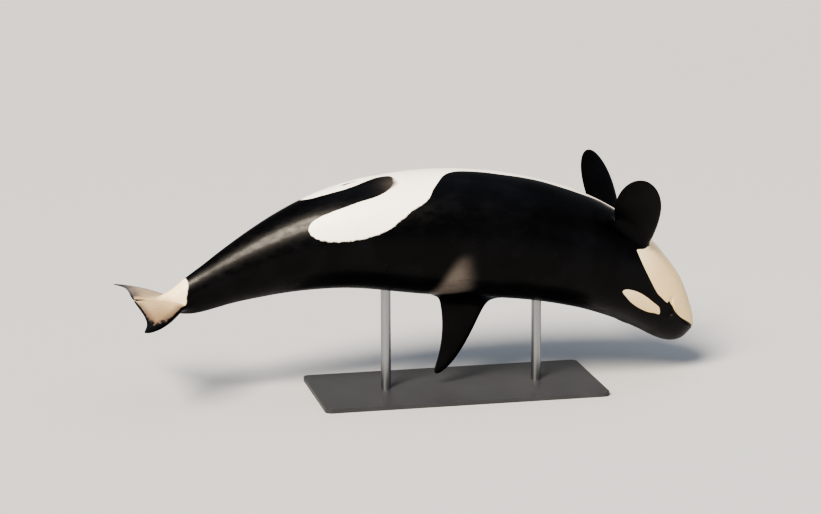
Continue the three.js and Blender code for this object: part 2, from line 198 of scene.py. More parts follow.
class Trunk:
    """The smooth body without its fins and small features."""

    def __init__(self, pose: Pose = Pose(), stations: Stations = Stations(),
                 tables: TrunkTables = TrunkTables()) -> None:
        """Walk the spine once and keep it as a table.

        Args:
            pose: Turns of the spine.
            stations: Sections along it.
            tables: How finely both are worked out.
        """
        self.stations = stations
        self.fine = tables
        self.root = np.sqrt(stations.x)
        self.s = np.linspace(0, LENGTH, tables.spine)
        pitch, yaw, roll = (np.radians(through(pose.x, v, self.s)) for v in (pose.pitch, pose.yaw, pose.roll))
        forward = np.stack([np.cos(pitch) * np.cos(yaw), np.cos(pitch) * np.sin(yaw), np.sin(pitch)], 1)
        up = np.stack([-np.sin(pitch) * np.cos(yaw), -np.sin(pitch) * np.sin(yaw), np.cos(pitch)], 1)
        side = np.cross(forward, up)
        c, s = np.cos(roll)[:, None], np.sin(roll)[:, None]
        walk = np.concatenate([np.zeros((1, 3)), np.cumsum((forward[1:] + forward[:-1]) / 2, 0)])
        points = -walk * (self.s[1] - self.s[0])
        here = np.array([np.interp(pose.anchor, self.s, points[:, k]) for k in range(3)])
        self.tables = (points - here + pose.anchor_at, forward, side * c - up * s, up * c + side * s)

    def frame(self, x: Array) -> list[Array]:
        """Look up the spine.

        Args:
            x: Stations.

        Returns:
            Point of the spine and the directions forward, to the left flank and to the belly.
        """
        return [np.stack([np.interp(x, self.s, table[:, k]) for k in range(3)], -1) for table in self.tables]

    def oval(self, x: Array, t: Array) -> tuple[Array, Array]:
        """Give the section of the body, an oval with its own fullness above and below.

        Sine and cosine of the angle are raised to 2 / fullness, with their signs kept, and scaled by
        the half width and by the depth to belly or back: a superellipse.

        Args:
            x: Stations.
            t: Angles round the body in degrees.

        Returns:
            Distances from the spine to the left flank and to the belly.
        """
        g, r = self.stations, np.sqrt(np.maximum(x, 0))
        belly, back, half, full_belly, full_back = (
            through(self.root, v, r) for v in (g.belly, g.back, g.half, g.full_belly, g.full_back))
        c, s = np.cos(np.radians(t)), np.sin(np.radians(t))
        power = 2 / np.where(c > 0, full_belly, full_back)
        return (half * np.sign(s) * np.abs(s) ** power,
                np.where(c > 0, belly, back) * np.sign(c) * np.abs(c) ** power)

    def skin(self, x: Array, t: Array) -> Array:
        """Place points of the hide: the spine's point plus the oval in the plane across it.

        Args:
            x: Stations.
            t: Angles in degrees.

        Returns:
            Points in space.
        """
        at, _, left, belly = self.frame(x)
        a, b = self.oval(x, t)
        return at + left * a[..., None] + belly * b[..., None]

    def outward(self, x: Array, t: Array) -> Array:
        """Give the direction out of the hide.

        Args:
            x: Stations.
            t: Angles in degrees.

        Returns:
            Unit normals.
        """
        dx, dt = self.fine.probe
        near = np.clip(x, dx, LENGTH - dx)
        along = self.skin(near + dx, t) - self.skin(near - dx, t)
        normal = np.cross(along, self.skin(near, t + dt) - self.skin(near, t - dt))
        sign = np.sign(np.sum(normal * (self.skin(near, t) - self.frame(near)[0]), -1, keepdims=True))
        return unit(normal * np.where(sign == 0, 1, sign))

    def girth(self, x: Array, t: Array) -> Array:
        """Measure round the hide from the belly line.

        Args:
            x: Stations.
            t: Angles in degrees.

        Returns:
            Length of the arc, with the sign of t.
        """
        g = self.fine
        knots = np.linspace(0, 180, g.arc_knots)
        rows = np.linspace(0.0, math.sqrt(LENGTH), g.arc_rows) ** 2
        a, b = self.oval(rows[:, None], knots[None, :])
        arc = np.concatenate([np.zeros((len(rows), 1)), np.cumsum(np.hypot(np.diff(a), np.diff(b)), 1)], 1)
        i = np.clip(np.sqrt(np.maximum(x, 0) / rows[1]), 0, g.arc_rows - g.inside)
        j = np.clip(np.abs(t) / knots[1], 0, g.arc_knots - g.inside)
        i0, j0 = i.astype(int), j.astype(int)
        fi, fj = i - i0, j - j0
        low = arc[i0, j0] * (1 - fj) + arc[i0, j0 + 1] * fj
        high = arc[i0 + 1, j0] * (1 - fj) + arc[i0 + 1, j0 + 1] * fj
        return np.sign(t) * (low * (1 - fi) + high * fi)


def turned(t: Array) -> Array:
    """Bring angles into -180 to 180.

    Args:
        t: Angles in degrees.

    Returns:
        The same angles in that range.
    """
    return (np.asarray(t) + 180) % 360 - 180


# Small features, each a height over the smooth hide

@dataclass(frozen=True)
class Mouth:
    """The closed mouth: a groove between soft lips, with a dimple at its corner."""

    x: tuple = (0, 0.06, 0.15, 0.25, 0.35, 0.43, 0.48)
    t: tuple = (90, 94, 95, 94, 91, 86, 80)
    deep: float = 0.008
    wide: float = 0.005
    lip: float = 0.003
    lips: tuple = ((0.016, 0.012), (-0.018, 0.013))  # place beside the groove and width, above and below
    closes: tuple = (-0.05, 0.06)  # the groove runs out along this ramp at its corner
    dimple: tuple = (0.006, 0.03)  # depth and width at the corner

    def away(self, trunk: Trunk, x: Array, t: Array) -> Array:
        """Measure from the lip line round the body, positive on the upper jaw.

        Args:
            trunk: The body.
            x: Stations.
            t: Angles in degrees.

        Returns:
            Distances.
        """
        line = through(self.x, self.t, np.minimum(x, self.x[-1]))
        return trunk.girth(x, np.abs(t)) - trunk.girth(x, line)

    def height(self, trunk: Trunk, x: Array, t: Array) -> Array:
        """Give the groove, the lips and the dimple.

        Across the lip line a narrow bell goes in for the groove and a wide one comes out on each side
        for the lips, all fading at the corner, where a round bell goes in for the dimple.

        Args:
            trunk: The body.
            x: Stations.
            t: Angles in degrees.

        Returns:
            Height over the smooth hide.
        """
        y, after = self.away(trunk, x, t), x - self.x[-1]
        deep, wide = self.dimple
        dimple = -deep * bell(after, wide) * bell(y, wide)
        lips = self.lip * sum(bell(y - at, width) for at, width in self.lips)
        return (1 - rise(after, self.closes)) * (lips - self.deep * bell(y, self.wide)) + dimple


@dataclass(frozen=True)
class Eye:
    """An eye in the flank: lids that rise round the ball and part in an almond."""

    x: float = 0.393
    t: float = 98.0
    radius: float = 0.024
    sunk: float = 0.012
    long: float = 0.0215  # half sizes of the opening
    high: float = 0.0112
    drawn: float = 0.3  # how much narrower the opening is at its corners
    cover: float = 0.0022  # thickness of the lids over the ball
    swell: float = 0.005
    swell_reach: float = 0.04
    blend: float = 0.008
    margin: tuple = (0.0009, 1.1, 0.07)  # thick margin of the lids: height, then place and width
    folds: tuple = ((0.0013, 1.62, 0.13), (0.0007, 2.25, 0.13))  # depth, place and width of each fold
    parts: tuple = (0.955, 0.075)  # the lids part along this ramp; these places are sizes of the opening
    behind: tuple = (0.0015, 0.0045)  # the floor lies this far under the ball, or at most under the lid
    leaves: float = 3.0  # how steeply the lid falls off beyond the ball
    crowding: float = 1.6  # power that holds the rings' shape near the opening
    rounds: int = 6  # in which the angles of the rings are found
    fades: tuple = (0.07, 0.05)
    reach: tuple = (0.05, 0.034)  # half sizes of the patch that the rings fill
    ring_sizes: tuple = (0.3, 0.6, 0.8, 0.9, 0.95, 0.98, 1.01, 1.04, 1.08, 1.13, 1.19, 1.26, 1.33, 1.4, 1.46,
                         1.52, 1.58, 1.64, 1.7, 1.76, 1.82, 1.88, 1.94)

    def centre(self, trunk: Trunk, side: int) -> Array:
        """Place the middle of the ball.

        Args:
            trunk: The body.
            side: 1 for the left, -1 for the right.

        Returns:
            Point in space.
        """
        x, t = np.array([self.x]), np.array([side * self.t])
        return (trunk.skin(x, t) - self.sunk * trunk.outward(x, t))[0]

    def place(self, trunk: Trunk, x: Array, t: Array) -> tuple[Array, Array]:
        """Measure from the eye along the body and round it.

        Args:
            trunk: The body.
            x: Stations.
            t: Angles in degrees.

        Returns:
            Distances towards the tail and towards the back.
        """
        return x - self.x, trunk.girth(x, np.abs(t)) - trunk.girth(x, np.full_like(x, self.t))

    def narrowed(self, along: Array) -> Array:
        """Give the half height of the opening.

        Args:
            along: Distance from its middle as a share of its half length.

        Returns:
            Half height in metres.
        """
        return self.high * (1 - self.drawn * np.clip(along, -1, 1) ** 2)

    def almond(self, a: Array, b: Array) -> Array:
        """Measure against the opening between the lids.

        Args:
            a: Distances towards the tail.
            b: Distances towards the back.

        Returns:
            1 on the edge of the lids, less inside.
        """
        return np.hypot(a / self.long, b / self.narrowed(a / self.long))

    def rings(self, trunk: Trunk, rim_x: Array, rim_t: Array) -> tuple[Array, Array]:
        """Lay rings that follow the lids near the opening and end on the rim of the patch.

        Args:
            trunk: The body.
            rim_x: Stations of the rim's points.
            rim_t: Their angles in degrees.

        Returns:
            Stations and angles, rings by sides, from the middle outwards, without the rim.
        """
        rim_a, rim_b = self.place(trunk, rim_x, rim_t)
        turn = np.arctan2(rim_b, rim_a)[None, :]
        size = np.array(self.ring_sizes[:-1])[:, None]
        share = (np.maximum(size - 1, 0) / (self.ring_sizes[-1] - 1)) ** self.crowding
        c, s = size * np.cos(turn), size * np.sin(turn)
        a, b = self.long * c, self.narrowed(c) * s
        a, b = a + (rim_a - a) * share, b + (rim_b - b) * share
        x, t = self.x + a, np.full_like(a, self.t)
        # each round moves the angle by what is still missing of that distance round the body
        for _ in range(self.rounds):
            wide = trunk.girth(x, t + 1) - trunk.girth(x, t - 1)
            t += 2 * (b - self.place(trunk, x, t)[1]) / wide
        return x, t

    def height(self, trunk: Trunk, x: Array, t: Array) -> Array:
        """Give the lids, the opening between them and the folds round them.

        The lid is the ball's own height plus its thickness, joined by a soft maximum to a wide bell
        round the socket. Narrow bells on the sizes of the almond make its margin and folds, and inside
        the almond it drops to a floor just under the ball.

        Args:
            trunk: The body.
            x: Stations.
            t: Angles in degrees.

        Returns:
            Height over the smooth hide.
        """
        a, b = self.place(trunk, x, t)
        away, size = np.hypot(a, b), self.almond(a, b)
        ball = np.sqrt(np.maximum(self.radius ** 2 - away ** 2, 0)) - self.sunk
        swell = self.swell * bell(away, self.swell_reach)
        lid = ball + self.cover - self.leaves * np.maximum(away - self.radius, 0)
        meet = np.maximum(self.blend - np.abs(lid - swell), 0) / self.blend
        lid = np.maximum(lid, swell) + meet ** 2 * self.blend / 4
        high, at, width = self.margin
        lid += high * bell(size - at, width)
        for deep, at, width in self.folds:
            lid -= deep * bell(size - at, width)
        inside = 1 - rise(size, self.parts)
        floor = np.maximum(ball - self.behind[0], lid - self.behind[1])
        return (lid + (floor - lid) * inside) * (1 - rise(away, self.fades))


@dataclass(frozen=True)
class Blowhole:
    """A crescent slit on the back, hollow side to the snout, in a low rim."""

    x: float = 0.64
    half: float = 0.046
    bow: float = 0.0132  # how far the crescent bends
    deep: float = 0.014
    wide: float = 0.0048
    back: float = 0.35  # radius of the back there
    ends: tuple = (-0.012, 0.016)  # the slit runs out along this ramp at its ends
    rim: tuple = (0.005, 0.06)  # height and reach
    fades: tuple = (0.09, 0.03)

    def height(self, trunk: Trunk, x: Array, t: Array) -> Array:
        """Give the slit and its rim.

        A narrow bell goes in along a parabola, over a flat-topped round bell that comes out.

        Args:
            trunk: The body; not used.
            x: Stations.
            t: Angles in degrees.

        Returns:
            Height over the smooth hide.
        """
        across = np.radians(turned(t - 180)) * self.back
        along = x - self.x - self.bow * (1 - (across / self.half) ** 2)
        away = np.hypot(x - self.x, across)
        slit = self.deep * bell(along, self.wide) * (1 - rise(np.abs(across) - self.half, self.ends))
        rim = self.rim[0] * np.exp(-(away / self.rim[1]) ** 4)
        return (rim - slit) * (1 - rise(away, self.fades))


@dataclass(frozen=True)
class BellySlits:
    """Navel, genital slit and the two short slits beside it, on the belly line."""

    navel: float = 2.63
    navel_deep: float = 0.006
    navel_half: tuple = (0.022, 0.01)
    slit: tuple = (3.38, 3.6)
    slit_end: float = 0.05  # it runs out over this length
    slit_lip: tuple = (0.003, 0.03)  # height and width
    slit_groove: tuple = (0.008, 0.0055)
    beside: tuple = (3.5, 3.58, 0.045)
    beside_end: float = 0.02
    beside_groove: tuple = (0.004, 0.005)
    within: float = 0.3  # nothing of it lies further round the body

    def height(self, trunk: Trunk, x: Array, t: Array) -> Array:
        """Give the four hollows.

        Each is a narrow bell across its line, times a share that rises at its front end and falls at
        its rear end; the navel is a bell both ways.

        Args:
            trunk: The body.
            x: Stations.
            t: Angles in degrees.

        Returns:
            Height over the smooth hide.
        """
        def run(start: float, end: float, over: float) -> Array:
            """Give 1 between two stations, falling to 0 at them."""
            return rise(x, (start, over)) * (1 - rise(x, (end - over, over)))

        y = trunk.girth(x, t)
        navel = self.navel_deep * bell(x - self.navel, self.navel_half[0]) * bell(y, self.navel_half[1])
        (high, lip), (deep, groove) = self.slit_lip, self.slit_groove
        slit = run(*self.slit, self.slit_end) * (high * bell(y, lip) - deep * bell(y, groove))
        start, end, off = self.beside
        deep, groove = self.beside_groove
        pair = deep * run(start, end, self.beside_end) * bell(np.abs(y) - off, groove)
        return (slit - navel - pair) * (np.abs(y) < self.within)


# Fins

class Fin(Enum):
    """The five fins, with the number that tells them apart in the joined hide."""

    DORSAL = 1
    FLIPPER_LEFT = 2
    FLIPPER_RIGHT = 3
    FLUKE_LEFT = 4
    FLUKE_RIGHT = 5


def curve(points: tuple, s: Array) -> Array:
    """Follow a cubic curve with four control points.

    Args:
        points: The control points.
        s: Shares of its length.

    Returns:
        Points of the curve.
    """
    r = 1 - s
    weights = np.stack([r ** 3, 3 * r * r * s, 3 * r * s * s, s ** 3], -1)
    return weights @ np.asarray(points, float)


def rounded_tip(s: Array, front: Array, rear: Array, start: float,
                least: float = 0.02) -> tuple[Array, Array]:
    """Round the end of a blade.

    Args:
        s: Shares of its height.
        front: Front edge.
        rear: Rear edge.
        start: Share where the rounding starts.
        least: Share of its width that is left at the very end.

    Returns:
        The two edges, drawn together as an ellipse.
    """
    beyond = np.maximum(s - start, 0) / (1 - start)
    width = np.sqrt(np.maximum(1 - beyond ** 2, least ** 2))[:, None]
    middle = (front + rear) / 2
    return middle + (front - middle) * width, middle + (rear - middle) * width


def foil(c: Array) -> Array:
    """Give the half thickness of a fin, round in front and thin behind.

    It is the usual series for a symmetrical aerofoil, in the root and the first powers of the chord.

    Args:
        c: Share of the chord.

    Returns:
        Share of the greatest half thickness.
    """
    shape = 2.969 * np.sqrt(c) - 1.26 * c - 3.516 * c ** 2 + 2.843 * c ** 3 - 1.015 * c ** 4
    return np.maximum(shape, 0)


@dataclass(frozen=True)
class BladeGrid:
    """How finely a blade is divided, and how thin its edge is."""

    rows: int = 60
    chord: int = 32
    tipward: float = 1.6
    edge: float = 0.0012


class Blade:
    """A fin: edges in its own plane, a thickness, and a place in space."""

    def __init__(self, fin: Fin, grid: BladeGrid = BladeGrid()) -> None:
        """Keep what tells the fin apart.

        Args:
            fin: Which fin it is.
            grid: Its divisions.
        """
        self.fin = fin
        self.grid = grid

    def edges(self, s: Array) -> tuple[Array, Array, Array]:
        """Give the outline.

        Args:
            s: Shares of the height.

        Returns:
            Front edge, rear edge and greatest half thickness.
        """
        raise NotImplementedError

    def shares(self, k: Array) -> Array:
        """Space the rows of the grid, closer together towards the tip.

        Args:
            k: Even shares from 0 to 1.

        Returns:
            Shares of the height.
        """
        return 1 - (1 - k) ** self.grid.tipward

    def blunt(self, s: Array) -> Array:
        """Give the least half thickness of the edges.

        Args:
            s: Shares of the height.

        Returns:
            Half thicknesses.
        """
        return np.full(len(s), self.grid.edge)

    def place(self, u: Array, v: Array, n: Array) -> Array:
        """Put points of the fin in space.

        Args:
            u: Distance towards the tail.
            v: Distance outwards.
            n: Distance out of the fin's plane.

        Returns:
            Points.
        """
        raise NotImplementedError

    def mesh(self) -> bpy.types.Mesh:
        """Build the closed blade, with its plane coordinates in the map named place.

        Returns:
            The mesh.
        """
        g = self.grid
        s = self.shares(np.arange(g.rows + 1) / g.rows)
        front, rear, thick = self.edges(s)
        j = np.arange(2 * g.chord)
        c = (1 - np.cos(j * np.pi / g.chord)) / 2
        side = np.where(j % g.chord == 0, 0, np.sign(g.chord - j))
        flat = front[:, None] * (1 - c)[None, :, None] + rear[:, None] * c[None, :, None]
        n = side * np.maximum(foil(c)[None] * thick[:, None], self.blunt(s)[:, None])
        points = self.place(flat[..., 0], flat[..., 1], n)
        return lofted(f"{self.fin.name.lower()}_blank", points, flat, CODE * self.fin.value)


def lofted(name: str, points: Array, flat: Array, code: float) -> bpy.types.Mesh:
    """Join rings of points to a closed mesh that faces out.

    Args:
        name: Name of the mesh.
        points: Rings by points by 3.
        flat: The two numbers to keep at each point.
        code: Added to the first of them.

    Returns:
        The mesh.
    """
    rows, ring = points.shape[:2]
    i, j = np.meshgrid(np.arange(rows - 1), np.arange(ring), indexing="ij")
    a, b = i * ring + j, i * ring + (j + 1) % ring
    quads = np.stack([a, b, b + ring, a + ring], -1).reshape(-1, 4)
    ends = np.stack([points[0].mean(0), points[-1].mean(0)])
    k = np.arange(ring)
    low = np.stack([(k + 1) % ring, k, np.full(ring, rows * ring)], 1)
    start = (rows - 1) * ring
    high = np.stack([start + k, start + (k + 1) % ring, np.full(ring, rows * ring + 1)], 1)
    mesh = bpy.data.meshes.new(name)
    mesh.from_pydata(np.concatenate([points.reshape(-1, 3), ends]).tolist(), [],
                     quads.tolist() + low.tolist() + high.tolist())
    keep = np.concatenate([flat.reshape(-1, 2), flat[0].mean(0)[None], flat[-1].mean(0)[None]])
    write_map(mesh, "place", keep[loop_vertices(mesh)] + [code, 0.0])
    face_out(mesh)
    return mesh


def face_out(mesh: bpy.types.Mesh) -> None:
    """Turn every face of a closed mesh outwards.

    Args:
        mesh: The mesh.
    """
    form = bmesh.new()
    form.from_mesh(mesh)
    bmesh.ops.recalc_face_normals(form, faces=form.faces)
    form.to_mesh(mesh)
    form.free()


def loop_vertices(mesh: bpy.types.Mesh) -> Array:
    """Read the vertex of every corner.

    Args:
        mesh: The mesh.

    Returns:
        Indices.
    """
    out = np.empty(len(mesh.loops), np.int32)
    mesh.loops.foreach_get("vertex_index", out)
    return out


def face_runs(mesh: bpy.types.Mesh) -> tuple[Array, Array]:
    """Read where the corners of each face start.

    Args:
        mesh: The mesh.

    Returns:
        First corner and number of corners of each face.
    """
    starts, totals = (np.empty(len(mesh.polygons), np.int32) for _ in range(2))
    mesh.polygons.foreach_get("loop_start", starts)
    mesh.polygons.foreach_get("loop_total", totals)
    return starts, totals


def write_map(mesh: bpy.types.Mesh, name: str, values: Array) -> None:
    """Write a two-number map on the corners.

    Args:
        mesh: The mesh.
        name: Name of the map.
        values: Two numbers a corner.
    """
    layer = mesh.uv_layers.get(name) or mesh.uv_layers.new(name=name)
    layer.uv.foreach_set("vector", np.ascontiguousarray(values, np.float32).ravel())


def read_points(mesh: bpy.types.Mesh) -> Array:
    """Read the vertices.

    Args:
        mesh: The mesh.

    Returns:
        Points.
    """
    out = np.empty(3 * len(mesh.vertices), np.float32)
    mesh.vertices.foreach_get("co", out)
    return out.reshape(-1, 3).astype(float)


def write_points(mesh: bpy.types.Mesh, points: Array) -> None:
    """Move the vertices.

    Args:
        mesh: The mesh.
        points: Their new places.
    """
    mesh.vertices.foreach_set("co", np.ascontiguousarray(points, np.float32).ravel())
    mesh.update()


@dataclass(frozen=True)
class DorsalSizes:
    """Sizes of the back fin: control points of its edges as (towards the tail, outwards)."""

    x: float = 2.3
    lead: tuple = ((-0.12, 0.48), (-0.02, 0.8), (0.09, 1.22), (0.298, 1.335))
    trail: tuple = ((0.4, 0.48), (0.262, 0.8), (0.268, 1.1), (0.324, 1.29))
    thick: float = 0.105
    thin: float = 0.82  # share of the thickness lost at the tip
    foot: tuple = (0.045, 0.035, 0.014)  # spread of the foot forward, backward and to each side
    foot_high: float = 0.06
    tip: float = 0.93


class DorsalFin(Blade):
    """The swept fin of the back, with a foot that spreads over it."""

    def __init__(self, trunk: Trunk, sizes: DorsalSizes = DorsalSizes()) -> None:
        """Set the fin on the back.

        Args:
            trunk: The body.
            sizes: The fin's sizes.
        """
        super().__init__(Fin.DORSAL)
        self.sizes = sizes
        self.axes = [v[0] for v in trunk.frame(np.array([sizes.x]))]
        self.root = -trunk.oval(np.array([sizes.x]), np.array([180.0]))[1][0]

    def edges(self, s: Array) -> tuple[Array, Array, Array]:
        """Give the outline, spread near the back.

        Args:
            s: Shares of the height.

        Returns:
            Front edge, rear edge and greatest half thickness.
        """
        g = self.sizes
        front, rear = curve(g.lead, s), curve(g.trail, s)
        near = np.minimum(np.exp((self.root - front[:, 1]) / g.foot_high), math.e)
        front[:, 0] -= g.foot[0] * near
        rear[:, 0] += g.foot[1] * near
        front, rear = rounded_tip(s, front, rear, g.tip)
        return front, rear, g.thick / 2 * (1 - g.thin * s) + g.foot[2] * near

    def place(self, u: Array, v: Array, n: Array) -> Array:
        """Put points of the fin on the back line.

        Args:
            u: Distance towards the tail.
            v: Distance outwards.
            n: Distance out of the fin's plane.

        Returns:
            Points.
        """
        at, forward, left, belly = self.axes
        return at - forward * u[..., None] - belly * v[..., None] + left * n[..., None]


@dataclass(frozen=True)
class FlipperSizes:
    """Sizes of a flipper, and how each of the two is held."""

    x: float = 1.103
    t: float = 41.0
    inset: float = 0.9  # its root lies at this share of the way from spine to hide
    buried: float = 0.12
    long: float = 0.889
    wide: float = 0.414
    most: float = 0.576  # share of its length where it is widest
    neck: float = 0.62  # share of that width at the root
    least: float = 0.002
    thick: float = 0.088
    thin: float = 0.8  # share of the thickness lost at the tip
    wedge: float = 0.06  # the tip thins where it is narrower than this
    boss: tuple = (0.01, 0.107)  # extra half thickness at the root, and how far it reaches
    armpit: float = 0.03  # how far the rear edge spreads along the body
    root_edge: float = 0.01
    root_near: tuple = (-0.03, 0.05, (-0.11, 0.06))  # the root's zone: full to here, falls over, rises
    left: tuple = (47.6, 32.9, -0.6)  # degrees out from the flank, forward, and of twist
    right: tuple = (54.6, 31.1, 8.3)


class Flipper(Blade):
    """A paddle, broadest past the middle, swept forward and up."""

    def __init__(self, trunk: Trunk, fin: Fin, sizes: FlipperSizes = FlipperSizes()) -> None:
        """Set the flipper on its flank.

        Args:
            trunk: The body.
            fin: The left or the right one.
            sizes: The flipper's sizes.
        """
        super().__init__(fin)
        self.sizes = sizes
        side = 1 if fin is Fin.FLIPPER_LEFT else -1
        out, sweep, twist = np.radians(sizes.left if side > 0 else sizes.right)
        at, forward, left, belly = (v[0] for v in trunk.frame(np.array([sizes.x])))
        a, b = (v[0] for v in trunk.oval(np.array([sizes.x]), np.array([sizes.t])))
        left = left * side
        self.root = at + sizes.inset * (left * a + belly * b)
        outward = left * math.cos(out) + belly * math.sin(out)
        face = belly * math.cos(out) - left * math.sin(out)
        self.along = outward * math.cos(sweep) - forward * math.sin(sweep)
        back = -forward * math.cos(sweep) - outward * math.sin(sweep)
        self.chord = back * math.cos(twist) + face * math.sin(twist)
        self.normal = np.cross(self.along, self.chord)

    def edges(self, s: Array) -> tuple[Array, Array, Array]:
        """Give the paddle's outline.

        Its width rises as a quarter sine to the widest place and rounds off as an ellipse beyond it.

        Args:
            s: Shares of the height.

        Returns:
            Front edge, rear edge and greatest half thickness.
        """
        g = self.sizes
        beyond = np.clip((s - g.most) / (1 - g.most), 0, 1)
        width = np.where(s < g.most, g.neck + (1 - g.neck) * np.sin(np.pi / 2 * s / g.most),
                         np.sqrt(1 - beyond ** 2))
        w = np.maximum(g.wide / 2 * width, g.least)
        v = g.long * s - g.buried
        thick = (g.thick / 2 * (1 - g.thin * s) * np.minimum(1, w / g.wedge)
                 + g.boss[0] * np.exp(-g.long * s / g.boss[1]))
        return np.stack([-w, v], 1), np.stack([w + g.armpit * self.near(v), v], 1), thick

    def near(self, v: Array) -> Array:
        """Say how near the root is.

        Args:
            v: Distance outwards.

        Returns:
            1 at the root, falling off outwards.
        """
        full, falls, rises = self.sizes.root_near
        return np.exp(-np.maximum(v, full) / falls) * rise(v, rises)

    def blunt(self, s: Array) -> Array:
        """Round the edges where they grow out of the body.

        Args:
            s: Shares of the height.

        Returns:
            Least half thicknesses of the edges.
        """
        return self.grid.edge + self.sizes.root_edge * self.near(self.sizes.long * s - self.sizes.buried)

    def place(self, u: Array, v: Array, n: Array) -> Array:
        """Put points of the flipper on its flank.

        Args:
            u: Distance towards the tail.
            v: Distance outwards.
            n: Distance out of the fin's plane.

        Returns:
            Points.
        """
        return self.root + self.chord * u[..., None] + self.along * v[..., None] + self.normal * n[..., None]


@dataclass(frozen=True)
class FlukeSizes:
    """Sizes of a fluke: control points of its edges as (towards the tail, outwards)."""

    span: float = 0.751
    lead: tuple = ((-0.448, 0), (-0.345, 0.239), (-0.185, 0.648), (0.058, 0.766))
    trail: tuple = ((0.027, 0), (0.044, 0.219), (-0.055, 0.533), (0.056, 0.707))
    droop: float = 0.072
    thick: float = 0.084
    thins: float = 0.8  # power with which the thickness falls to the tip
    least: float = 0.003
    root: tuple = (0.03, 0.07)  # how far the front edge spreads at the tail stock, and over what height
    notch: tuple = (0.12, 0.009, 1.5)  # depth, half width and steepness of the notch between the flukes
    over: tuple = (0.008, 12)  # how far each fluke reaches past the middle, and how soon that ends
    tip: float = 0.9
    crowding: float = 0.88  # how much closer the rows lie at the notch and the tip


class Fluke(Blade):
    """Half of the tail's flukes, with a drooping tip."""

    def __init__(self, trunk: Trunk, fin: Fin, sizes: FlukeSizes = FlukeSizes()) -> None:
        """Set the fluke at the end of the spine.

        Args:
            trunk: The body.
            fin: The left or the right one.
            sizes: The fluke's sizes.
        """
        super().__init__(fin)
        self.sizes = sizes
        self.side = 1 if fin is Fin.FLUKE_LEFT else -1
        self.axes = [v[0] for v in trunk.frame(np.array([LENGTH]))]

    def edges(self, s: Array) -> tuple[Array, Array, Array]:
        """Give the outline, spread near the tail stock.

        Args:
            s: Shares of the height.

        Returns:
            Front edge, rear edge and greatest half thickness.
        """
        g = self.sizes
        front, rear = curve(g.lead, s), curve(g.trail, s)
        front[:, 0] -= g.root[0] * np.exp(-front[:, 1] / g.root[1])
        for edge in (front, rear):
            edge[:, 1] -= g.over[0] * (1 - s) ** g.over[1]
        deep, wide, steep = g.notch
        rear[:, 0] -= deep * np.exp(-(np.abs(rear[:, 1]) / wide) ** steep)
        front, rear = rounded_tip(s, front, rear, g.tip)
        return front, rear, g.thick / 2 * (1 - s) ** g.thins + g.least

    def shares(self, k: Array) -> Array:
        """Space the rows closer together at the notch and at the tip.

        Args:
            k: Even shares from 0 to 1.

        Returns:
            Shares of the height.
        """
        return k - self.sizes.crowding * np.sin(2 * np.pi * k) / (2 * np.pi)

    def place(self, u: Array, v: Array, n: Array) -> Array:
        """Put points of the fluke at the tail.

        Args:
            u: Distance towards the tail.
            v: Distance outwards.
            n: Distance out of the fin's plane.

        Returns:
            Points.
        """
        at, forward, left, belly = self.axes
        out = left * self.side
        return (at - forward * u[..., None] + out * v[..., None]
                + belly * (n - self.sizes.droop * (v / self.sizes.span) ** 2)[..., None])


# Markings, as outlines on the hide in (x, t)

